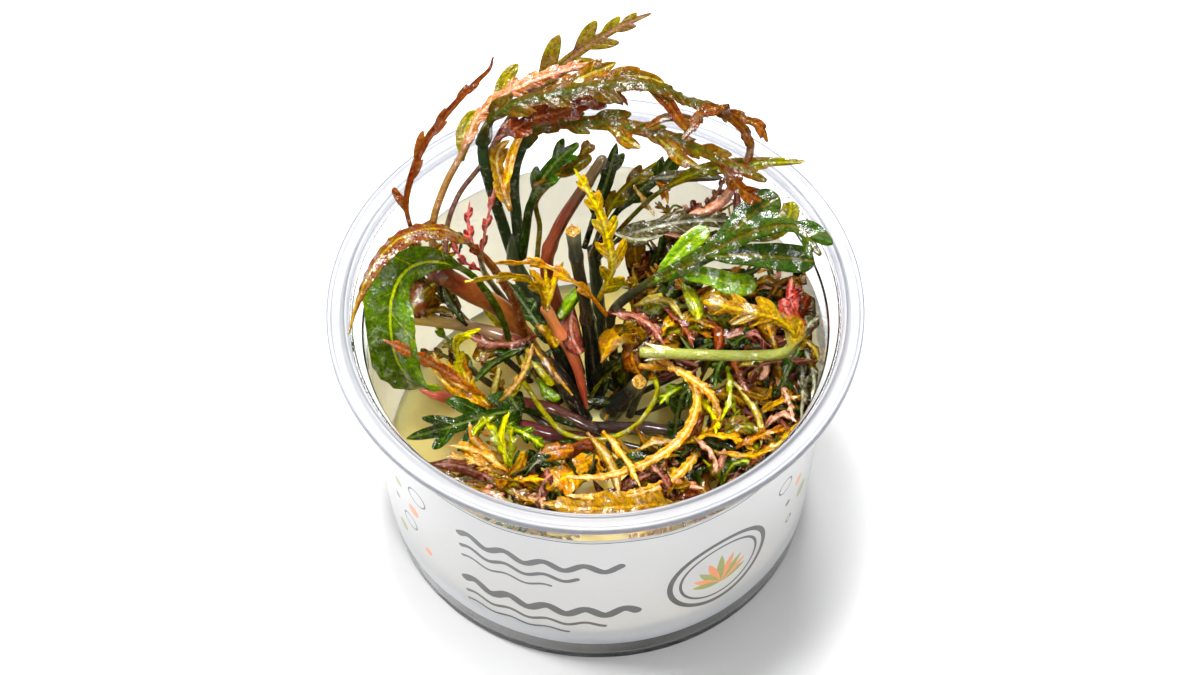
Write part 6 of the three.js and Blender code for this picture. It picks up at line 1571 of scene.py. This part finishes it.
# Small leaves: finish, half width, lobe pairs, start, tip and bow
SMALL_LEAVES = {
    "leaf_pink_left": (
        ("orange", 1.1, 1, (-22, 2, 25.5), (-28.5, 7.5, 32.5), -0.5),
        ("orange", 1.0, 1, (-22.5, 1.5, 26.5), (-31.5, 6, 32.5), -1),
        ("gold", 1.1, 1, (-21.5, 3, 25), (-27, 8, 31.5), -0.5),
        ("peach", 0.9, 0, (-25.5, 3.5, 29), (-31, 7.5, 35), -1),
    ),
    "leaf_salmon_left": (
        ("gold", 0.8, 0, (-9, 15, 40), (-6, 20, 46.5), -0.5),
        ("gold", 0.8, 1, (-9, 15.5, 40), (-9.5, 19.5, 46.5), 0),
        ("amber", 1.0, 0, (-9.5, 15.5, 39), (-12.5, 19.5, 45), 1),
    ),
    "leaf_right_tip": (
        ("pink", 1.1, 0, (27, 30.5, 58.5), (18, 23.5, 56.5), -2),
        ("purple_brown", 0.8, 0, (26.5, 23.5, 53.5), (27, 28, 60), 0.5),
        ("rust", 1.2, 1, (12, 32.5, 55), (14, 27.5, 54.5), -0.5),
        ("tan", 0.9, 1, (8.5, 32, 52), (11.5, 27, 51.5), 0),
        ("grey_green", 1.2, 0, (11, 31.5, 57), (24.5, 30, 59), -0.5),
    ),
    "leaf_grey_narrow": (
        ("brown", 1.0, 1, (27, 28, 46.5), (14, 25.5, 48), -1.5),
        ("pink", 1.1, 2, (14, 25.5, 47.5), (23.5, 23, 49), 0),
        ("grey_green", 1.3, 1, (3.5, 26.5, 47), (13, 24.5, 48.5), 1),
    ),
    "leaf_big_right": (
        ("rust", 1.2, 3, (20, 16.5, 48), (28, 15.5, 51), 1.5),
        ("dark", 1.6, 1, (23, 16, 48), (32.5, 16, 51), 1.5),
    ),
    "shoot_centre_right": (
        ("rust", 1.3, 4, (20, 13, 41), (13.5, 17.5, 47), 0),
        ("lime", 1.5, 0, (17, 15, 44.5), (19.5, 8.5, 43), -0.5),
        ("straw", 1.1, 0, (8.5, 15, 39.5), (16.5, 11, 40), -2.5),
        ("amber", 1.4, 4, (11, 9, 35.5), (22.5, 9.5, 39), -3),
        ("rust", 1.2, 4, (12, 9, 34), (23, 8, 37), -2.5),
        ("purple_brown", 1.4, 3, (3, 14, 38), (13, 7.5, 36.5), -2),
        ("olive", 1.8, 3, (5.5, 12.5, 34.5), (18, 14.5, 39), -2),
        ("dark", 2.0, 0, (15.5, 10, 31.5), (24, 10, 34.5), -1),
        ("amber", 2.6, 0, (1.5, 10.5, 29), (7, 12.5, 33.5), -1.5),
        ("rust", 2.0, 0, (8.5, 8, 26), (8, 13, 32.5), -1.5),
        ("wine", 1.3, 3, (14, 13, 39.5), (18.5, 5.5, 37.5), -1),
        ("brown", 1.8, 2, (8.5, 9, 33), (17, 7, 34.5), -1),
        # The last seven lie flat on the gel round the stems' feet: dark sheaths, partly painted shade for the
        # deep shade there
        ("dark", 1.0, 0, (5, 8.5, 14.5), (-4.5, 10, 14), 1),
        ("dark", 0.9, 0, (2, 14, 14.5), (-3.5, 7.5, 14), -0.5),
        ("brown", 0.8, 0, (-4.5, 11, 14.5), (3, 15, 14), 0.5),
        ("dark", 1.0, 0, (-3, 16, 14.5), (3, 8.5, 14), 0.5),
        ("dark", 1.1, 0, (-7, 11, 14.5), (1.5, 11.5, 14), -1),
        ("dark", 0.9, 0, (0.5, 17, 14.5), (8.5, 11, 14), 1),
        ("brown", 0.8, 0, (4, 12.5, 14.5), (1.5, 6, 14), 0),
    ),
    "shoot_far_right": (
        ("purple_brown", 2.2, 3, (23, 7, 36.5), (34, 5, 38), -3),
        ("maroon", 2.2, 0, (28.5, 6.5, 35), (35.5, 5, 36.5), -1.5),
        ("wine", 1.2, 0, (22, 10.5, 39), (23, 5, 38), -1),
        ("brown", 1.4, 3, (28, 14.5, 43), (38, 13, 45), -2.5),
        ("dark", 0.7, 0, (33, 16, 38), (32, 21.5, 45.5), 1),
        ("purple_brown", 0.7, 0, (35.5, 16, 38), (36, 21.5, 45.5), -1),
        ("rust", 1.2, 2, (25.5, 17.5, 40.5), (32, 16, 42.5), 1),
        ("amber", 1.6, 3, (19.5, 16, 38), (27, 14.5, 40), -2),
        ("dark", 2.2, 0, (25, 8.5, 31.5), (33, 7, 33.5), -2),
        ("amber", 2.4, 0, (27.5, 0.5, 27), (36, 5, 33), -1.5),
        ("gold", 1.2, 0, (34, 5.5, 33), (35.5, 0.5, 32.5), -2),
        ("pink", 1.0, 0, (32, 5, 35), (31, 0.5, 34.5), -1),
        ("olive", 2.0, 2, (18, 15.5, 36.5), (27.5, 13, 37.5), 1),
    ),
    "shoot_red": (
        ("red", 1.9, 1, (38.5, 6, 45.5), (37, 11, 52.5), -1),
        ("wine", 1.3, 0, (38, 7, 45), (40, 9, 50), 0),
        ("red", 1.6, 0, (38.5, 6, 45.5), (35.5, 8, 50), -1),
        ("brown", 1.2, 2, (33.5, 12, 46.5), (39.5, 10.5, 48.5), -2.5),
    ),
    "shoot_right_wall": (
        ("grey_green", 1.4, 2, (38.5, 3, 40), (38.5, -9, 34), -0.5),
        ("olive_brown", 1.4, 2, (38, 4.5, 42), (42, -0.5, 41.5), -1),
        ("grey_green", 1.2, 3, (39.5, 2.5, 41), (40.5, -6.5, 37), -1),
        ("grey_green", 1.8, 2, (38.5, 3.5, 41), (42.5, 6.5, 46.5), -1),
        ("grey_green", 1.5, 0, (38.5, 6.5, 42), (40, 10, 48), 1.5),
        ("amber", 1.3, 2, (31.5, -5.5, 32.5), (38.5, -4.5, 36), -0.5),
        ("maroon", 1.5, 0, (34, -3, 33), (38, -2, 36.5), 0),
        ("pink", 0.9, 5, (34.5, -1.5, 36.5), (37, -9, 34), -0.5),
        ("pink", 1.0, 2, (32.5, -8, 32), (37.5, -9, 34), -1.5),
        ("amber", 1.0, 4, (24, -13, 29.5), (37.5, -10, 34.5), 2.5),
        ("rust", 1.3, 3, (27.5, -11, 29.5), (36.5, -10, 33.5), -0.5),
        ("wine", 1.2, 2, (29, -13.5, 26.5), (34.5, -12, 30.5), -0.5),
    ),
    "shoot_right_mid": (
        ("deep_green", 1.5, 2, (24, 5, 35), (22.5, -1, 34), 0.5),
        ("lime", 1.0, 2, (25, 1.5, 35), (23.5, -7, 32), -1),
        ("wine", 1.3, 4, (26, 4, 35.5), (29, -3, 33.5), 0),
        ("straw", 0.9, 0, (27, -1, 34), (31, -11.5, 30), -1.5),
        ("olive", 2.2, 1, (24, -8, 28), (31.5, -9, 30.5), -1.5),
        ("orange", 1.0, 3, (22.5, -8.5, 29), (30, -12.5, 29), -1),
        ("green", 1.8, 3, (19, 3.5, 29), (12, -1, 29), 1),
        ("yellow", 1.3, 3, (20, -2, 31), (22.5, -8.5, 29.5), -1),
        ("amber", 1.2, 3, (17.5, -8, 26.5), (23.5, -5.5, 31.5), 1),
        ("pink", 1.0, 3, (19.5, -9, 27.5), (22.5, -15, 26), -1),
        ("pink", 0.9, 0, (22.5, -13.5, 25), (24, -12, 29.5), 0.5),
        ("green", 2.4, 0, (24, -14, 22.5), (30, -13, 26), -2),
        ("dark", 1.5, 0, (12, -6.5, 24.5), (26.5, -9.5, 25.5), -1),
        ("tan", 1.2, 1, (8.5, -8, 24.5), (16, -9, 27), -1),
        ("purple_brown", 1.4, 2, (26, -1.5, 29), (31, -7, 28.5), -1),
        ("brown", 2.0, 3, (19.5, -0.5, 30), (29, -3, 31), -1.5),
        ("wine", 1.3, 2, (17.5, -7, 26.5), (19.5, -4.5, 31.5), 0.5),
        ("dark", 0.55, 0, (19, -5.5, 21.5), (18.5, -13.5, 18.5), 0),
        ("dark", 0.5, 0, (16.5, -8.5, 19), (22, -14, 18), 0),
        ("olive", 0.5, 0, (24, -8, 19.5), (20.5, -13.5, 18.5), 0),
    ),
    "shoot_front": (
        ("pink", 1.3, 3, (11, -16.5, 21.5), (20, -17.5, 24.5), -1),
        ("wine", 2.0, 2, (11.5, -17.5, 20), (19.5, -17.5, 23), 0),
        ("tan", 1.2, 0, (-1, -8, 28), (4, -18, 24), -1),
        ("peach", 1.2, 2, (2, -8.5, 29), (8, -17.5, 25.5), -0.5),
        ("dark", 2.0, 0, (2.5, -9.5, 19.5), (13.5, -10, 22.5), -1),
        ("purple_brown", 1.6, 3, (4.5, -13, 18), (15.5, -10.5, 23), -0.5),
        ("brown", 2.2, 2, (0.5, -16, 17), (15.5, -15.5, 20.5), 0),
        ("wine", 1.4, 2, (0.5, -8.5, 23), (1.5, -14, 22), -1.5),
        ("brown", 1.5, 2, (8, -4.5, 24.5), (15.5, -9.5, 24), 1.5),
    ),
    "shoot_front_left": (
        ("green", 1.8, 3, (-17.5, -3, 25.5), (-10, -8, 25), -0.5),
        ("dark", 1.8, 2, (-17.5, -12, 20), (-7.5, -10, 24.5), -1),
        ("deep_green", 1.8, 2, (-19, -10.5, 21), (-13, -9, 25.5), 0.5),
        ("orange", 1.2, 3, (-18.5, -15.5, 21.5), (-10, -15, 24.5), -1),
        ("pink", 1.5, 3, (-14, -16.5, 22), (-9.5, -19.5, 23), 0),
        ("pink", 1.5, 3, (-24.5, -15, 23), (-17.5, -19, 23), -0.5),
        ("brown", 1.8, 2, (-31.5, -11.5, 24), (-18.5, -17, 23.5), 1),
        ("purple_brown", 1.4, 0, (-31, -11, 24.5), (-19.5, -15, 24.5), -1),
        ("olive_brown", 1.8, 2, (-27, -13, 22), (-15.5, -17, 22), -1.5),
        ("maroon", 1.8, 0, (-5, -9, 23.5), (-0.5, -9, 26.5), -1),
        ("rust", 1.8, 0, (-11.5, -9.5, 23.5), (-4.5, -9.5, 26.5), -0.5),
        ("brown", 2.0, 2, (-18, -13.5, 22.5), (-13, -18.5, 22.5), 0.5),
    ),
    "shoot_dark_left": (
        ("purple_brown", 1.8, 2, (-12.5, 14, 30.5), (-25, 13, 33), -1.5),
        ("dark", 2.0, 2, (-13.5, 13.5, 29), (-19, 9.5, 29), 0.5),
        ("olive_brown", 1.8, 0, (-18, 13, 29.5), (-23, 9, 30), 0.5),
        ("deep_green", 0.9, 0, (-14.5, 11.5, 30), (-23.5, 5, 28.5), 1),
        ("tan", 1.2, 4, (-17.5, 1, 29.5), (-12, 7.5, 37.5), 1),
        ("brown", 1.2, 1, (-12.5, 10, 34), (-4.5, 0.5, 30), 0),
        ("lime_green", 1.2, 0, (-10.5, 5.5, 27), (-7, 2, 27), 0.5),
        ("yellow", 1.3, 0, (-11.5, 8.5, 29), (-8.5, 4, 28.5), -0.5),
        ("dark", 1.4, 3, (-9.5, 12, 28), (-14, 6.5, 27), 0.5),
        ("rust", 0.8, 2, (-24, 5.5, 28), (-25.5, 8.5, 33.5), 0),
        ("straw", 0.7, 0, (-20, 5.5, 23), (-18.5, 8.5, 28.5), 0),
    ),
    "shoot_orange": (
        ("peach", 1.3, 2, (-18, -13, 26), (-28, -11, 30.5), 1),
        ("peach", 1.1, 1, (-19, -12.5, 26), (-28.5, -12.5, 29), 0.5),
        ("peach", 1.0, 0, (-20.5, -10.5, 27.5), (-24, -7.5, 32.5), -1),
        ("lime", 1.2, 1, (-17, -12.5, 28.5), (-21.5, -7.5, 35), 0),
        ("yellow", 1.0, 0, (-17.5, -12.5, 28.5), (-16.5, -7, 35.5), -1),
        ("lime", 1.0, 0, (-20.5, -6.5, 32.5), (-23.5, -10.5, 33), 0.5),
        ("amber", 1.2, 0, (-16, -13.5, 25.5), (-14, -12, 29.5), 0.5),
        ("rust", 1.3, 2, (-17, -13.5, 24), (-19.5, -15.5, 26), -1.5),
    ),
    "shoot_amber": (
        ("olive_brown", 3.0, 0, (-30, 18, 43.5), (-35, 11.5, 41.5), 1),
        ("olive_brown", 0.8, 0, (-32.5, 16, 36.5), (-26.5, 13.5, 38), -1),
        ("dark", 1.0, 0, (-25.5, 14, 36.5), (-29, 17.5, 42.5), -0.5),
    ),
    "leaf_green_cut": (
        ("lime_green", 1.3, 0, (-3, 21.5, 36), (-7, 15.5, 34.5), 0),
        ("purple_brown", 2.2, 0, (-4.5, 18, 33.5), (-3, 10, 30.5), 1),
        ("amber", 1.6, 0, (-10.5, 15.5, 31.5), (-7.5, 11, 31.5), -0.5),
    ),
}


# The stage

LIT_PLACE = (0, 0, 0.03)

# Each soft box: its place in metres, its width and its strength
SOFT_BOXES = {
    "softbox_front": ((0.2, -0.65, 0.85), 0.22, 4.9),
    "softbox_top": ((-0.05, 0.1, 0.95), 0.26, 12.4),
    "softbox_left": ((-0.5, 0.05, 0.7), 0.22, 6.6),
    "softbox_back": ((0.05, 0.62, 0.8), 0.28, 6.4),
}


def add_area(name, place, width, strength):
    """A soft square light that faces the clump, in metres."""
    data = bpy.data.lights.new(name, "AREA")
    data.shape = "SQUARE"
    data.size = width
    data.energy = strength
    light = bpy.data.objects.new(name, data)
    light.location = place
    light.rotation_mode = "QUATERNION"
    light.rotation_quaternion = (Vector(place) - Vector(LIT_PLACE)).to_track_quat("Z", "Y")
    bpy.context.scene.collection.objects.link(light)


def add_camera():
    """The camera at the photograph's place, a little turned about its own axis."""
    back = Vector(TOWARDS_CAMERA)
    up = Vector((0, math.sin(CAMERA_ELEVATION), math.cos(CAMERA_ELEVATION)))
    right = Vector((1, 0, 0))
    data = bpy.data.cameras.new("camera")
    data.lens = CAMERA_LENS
    data.sensor_width = 36
    data.sensor_fit = "HORIZONTAL"
    camera = bpy.data.objects.new("camera", data)
    turned_right = right * math.cos(CAMERA_ROLL) - up * math.sin(CAMERA_ROLL)
    turned_up = right * math.sin(CAMERA_ROLL) + up * math.cos(CAMERA_ROLL)
    turn = Matrix((turned_right, turned_up, back)).transposed().to_4x4()
    place = back * CAMERA_DISTANCE + right * CAMERA_SIDE + up * CAMERA_RISE
    camera.matrix_world = Matrix.Translation(place) @ turn
    bpy.context.scene.collection.objects.link(camera)
    bpy.context.scene.camera = camera


# Settings


class CupSettings(PropertyGroup):
    """The cup and its label."""

    rim_radius: FloatProperty(
        name="Rim radius", description="Outer radius of the flange", default=RIM_RADIUS * MM, unit="LENGTH"
    )
    wall: FloatProperty(
        name="Wall", description="Thickness of the moulded wall", default=WALL_THICKNESS * MM, unit="LENGTH"
    )
    paper: FloatVectorProperty(
        name="Label", description="Ground colour of the label", default=colour(0xB0B2B4)[:3],
        subtype="COLOR", size=3,
    )
    ink: FloatVectorProperty(
        name="Ink", description="Main ink of the label's pattern", default=colour(0x2C2E32)[:3],
        subtype="COLOR", size=3,
    )


class PlantSettings(PropertyGroup):
    """The clump of plants."""

    fill: FloatProperty(
        name="Fill", description="Share of the thin leaves that fill the side shoots", default=1.0,
        min=0, max=2,
    )


class StageSettings(PropertyGroup):
    """Floor and light."""

    floor: FloatVectorProperty(
        name="Floor", description="Colour of the floor", default=(0.66, 0.66, 0.66), subtype="COLOR", size=3
    )
    light: FloatProperty(name="Light", description="Strength of the sky light", default=0.27, min=0)
    floor_size: IntProperty(name="Floor size", description="Width of the floor in metres", default=6, min=1)


# Operators


class CULTURECUP_OT_cup(Operator):
    """Adds the clear cup"""

    bl_idname = "culturecup.cup"
    bl_label = "Add cup"

    def execute(self, context):
        settings = context.scene.culture_cup
        outline = cup_outline(settings.rim_radius / MM, settings.wall / MM)
        make_piece("cup_clear", [turned_part(outline, clear_plastic("cup_plastic"))], "cup")
        return {"FINISHED"}


class CULTURECUP_OT_label(Operator):
    """Adds the wrap label with its plain printed pattern"""

    bl_idname = "culturecup.label"
    bl_label = "Add label"

    def execute(self, context):
        settings = context.scene.culture_cup
        inks = {
            "white": film_finish("label_ground", (*settings.paper, 1.0)),
            "grey": film_finish("label_grey_ink", (*settings.ink, 1.0)),
            "orange": film_finish("label_orange_ink", colour(0xD8763A)),
            "green": film_finish("label_green_ink", colour(0x7C8436)),
            "cream": film_finish("label_back", colour(0xD8CAA6), 0.03, glow=1.0),
        }
        make_piece("label_wrap", [label_part(inks)], "label")
        return {"FINISHED"}


class CULTURECUP_OT_gel(Operator):
    """Adds the set culture gel"""

    bl_idname = "culturecup.gel"
    bl_label = "Add gel"

    def execute(self, context):
        part = turned_part(gel_outline(), gel_finish("gel_body"), gel_waves)
        make_piece("gel_set", [part], "gel")
        return {"FINISHED"}


class CULTURECUP_OT_stems(Operator):
    """Adds the stems that stand in the gel"""

    bl_idname = "culturecup.stems"
    bl_label = "Add stems"

    def execute(self, context):
        for name, spec in STEMS.items():
            stem_piece(name, spec)
        return {"FINISHED"}


def add_leaves(table):
    """Adds every leaf of a table."""
    for name, spec in table.items():
        leaf_piece(name, spec)
    return {"FINISHED"}


class CULTURECUP_OT_arch_leaves(Operator):
    """Adds the two leaves that arch over the back, and the dark fork between them"""

    bl_idname = "culturecup.arch_leaves"
    bl_label = "Add arching leaves"

    def execute(self, context):
        return add_leaves(ARCH_LEAVES)


class CULTURECUP_OT_left_leaves(Operator):
    """Adds the leaves on the thick stem at the left"""

    bl_idname = "culturecup.left_leaves"
    bl_label = "Add left leaves"

    def execute(self, context):
        return add_leaves(LEFT_LEAVES)


class CULTURECUP_OT_left_front_leaves(Operator):
    """Adds the thin leaves that hang over the left half"""

    bl_idname = "culturecup.left_front_leaves"
    bl_label = "Add left front leaves"

    def execute(self, context):
        return add_leaves(LEFT_FRONT_LEAVES)


class CULTURECUP_OT_back_leaves(Operator):
    """Adds the leaves behind the middle and the big right leaf"""

    bl_idname = "culturecup.back_leaves"
    bl_label = "Add back leaves"

    def execute(self, context):
        return add_leaves(BACK_LEAVES)


class CULTURECUP_OT_front_leaves(Operator):
    """Adds the narrow fuzzy leaves and the broad ones at the front"""

    bl_idname = "culturecup.front_leaves"
    bl_label = "Add front leaves"

    def execute(self, context):
        return add_leaves(FRONT_LEAVES)


class CULTURECUP_OT_shoots(Operator):
    """Adds the small side plantlets"""

    bl_idname = "culturecup.shoots"
    bl_label = "Add side shoots"

    def execute(self, context):
        for name, spec in SHOOTS.items():
            shoot_piece(name, spec, context.scene.culture_plant.fill)
        return {"FINISHED"}


class CULTURECUP_OT_stage(Operator):
    """Adds the pale floor, the soft light and the camera"""

    bl_idname = "culturecup.stage"
    bl_label = "Add stage"

    def execute(self, context):
        settings = context.scene.culture_stage
        half = settings.floor_size / 2
        mesh = bpy.data.meshes.new("floor")
        corners = [(-half, -half, 0), (half, -half, 0), (half, half, 0), (-half, half, 0)]
        mesh.from_pydata(corners, [], [(0, 1, 2, 3)])
        mesh.materials.append(floor_finish("floor_pale", settings.floor))
        floor = bpy.data.objects.new("floor", mesh)
        context.scene.collection.objects.link(floor)
        world = bpy.data.worlds.new("sky")
        world.use_nodes = True
        background = world.node_tree.nodes["Background"].inputs
        background["Color"].default_value = (1, 1, 1, 1)
        background["Strength"].default_value = settings.light
        context.scene.world = world
        context.scene.view_settings.view_transform = "Standard"
        for name, box in SOFT_BOXES.items():
            add_area(name, *box)
        add_camera()
        return {"FINISHED"}


class CULTURECUP_PT_panel(Panel):
    """Lists what can be added"""

    bl_idname = "CULTURECUP_PT_panel"
    bl_label = "Culture cup"
    bl_space_type = "VIEW_3D"
    bl_region_type = "UI"
    bl_category = "Culture cup"

    def draw(self, context):
        scene = context.scene
        for group, names in (
            (scene.culture_cup, ("rim_radius", "wall", "paper", "ink")),
            (scene.culture_plant, ("fill",)),
            (scene.culture_stage, ("floor", "light", "floor_size")),
        ):
            for name in names:
                self.layout.prop(group, name)
        for operator in OPERATORS:
            self.layout.operator(operator.bl_idname)


OPERATORS = (
    CULTURECUP_OT_cup,
    CULTURECUP_OT_label,
    CULTURECUP_OT_gel,
    CULTURECUP_OT_stems,
    CULTURECUP_OT_arch_leaves,
    CULTURECUP_OT_left_leaves,
    CULTURECUP_OT_left_front_leaves,
    CULTURECUP_OT_back_leaves,
    CULTURECUP_OT_front_leaves,
    CULTURECUP_OT_shoots,
    CULTURECUP_OT_stage,
)
CLASSES = (CupSettings, PlantSettings, StageSettings, *OPERATORS, CULTURECUP_PT_panel)


def register():
    """Adds the settings, the operators and the panel."""
    for item in CLASSES:
        bpy.utils.register_class(item)
    bpy.types.Scene.culture_cup = PointerProperty(type=CupSettings)
    bpy.types.Scene.culture_plant = PointerProperty(type=PlantSettings)
    bpy.types.Scene.culture_stage = PointerProperty(type=StageSettings)


def unregister():
    """Takes away what register added."""
    del bpy.types.Scene.culture_stage
    del bpy.types.Scene.culture_plant
    del bpy.types.Scene.culture_cup
    for item in reversed(CLASSES):
        bpy.utils.unregister_class(item)


def main():
    """Registers the add-on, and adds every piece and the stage."""
    register()
    bpy.ops.culturecup.stage()
    bpy.ops.culturecup.cup()
    bpy.ops.culturecup.label()
    bpy.ops.culturecup.gel()
    bpy.ops.culturecup.stems()
    bpy.ops.culturecup.arch_leaves()
    bpy.ops.culturecup.left_leaves()
    bpy.ops.culturecup.left_front_leaves()
    bpy.ops.culturecup.back_leaves()
    bpy.ops.culturecup.front_leaves()
    bpy.ops.culturecup.shoots()


if __name__ == "__main__":
    main()
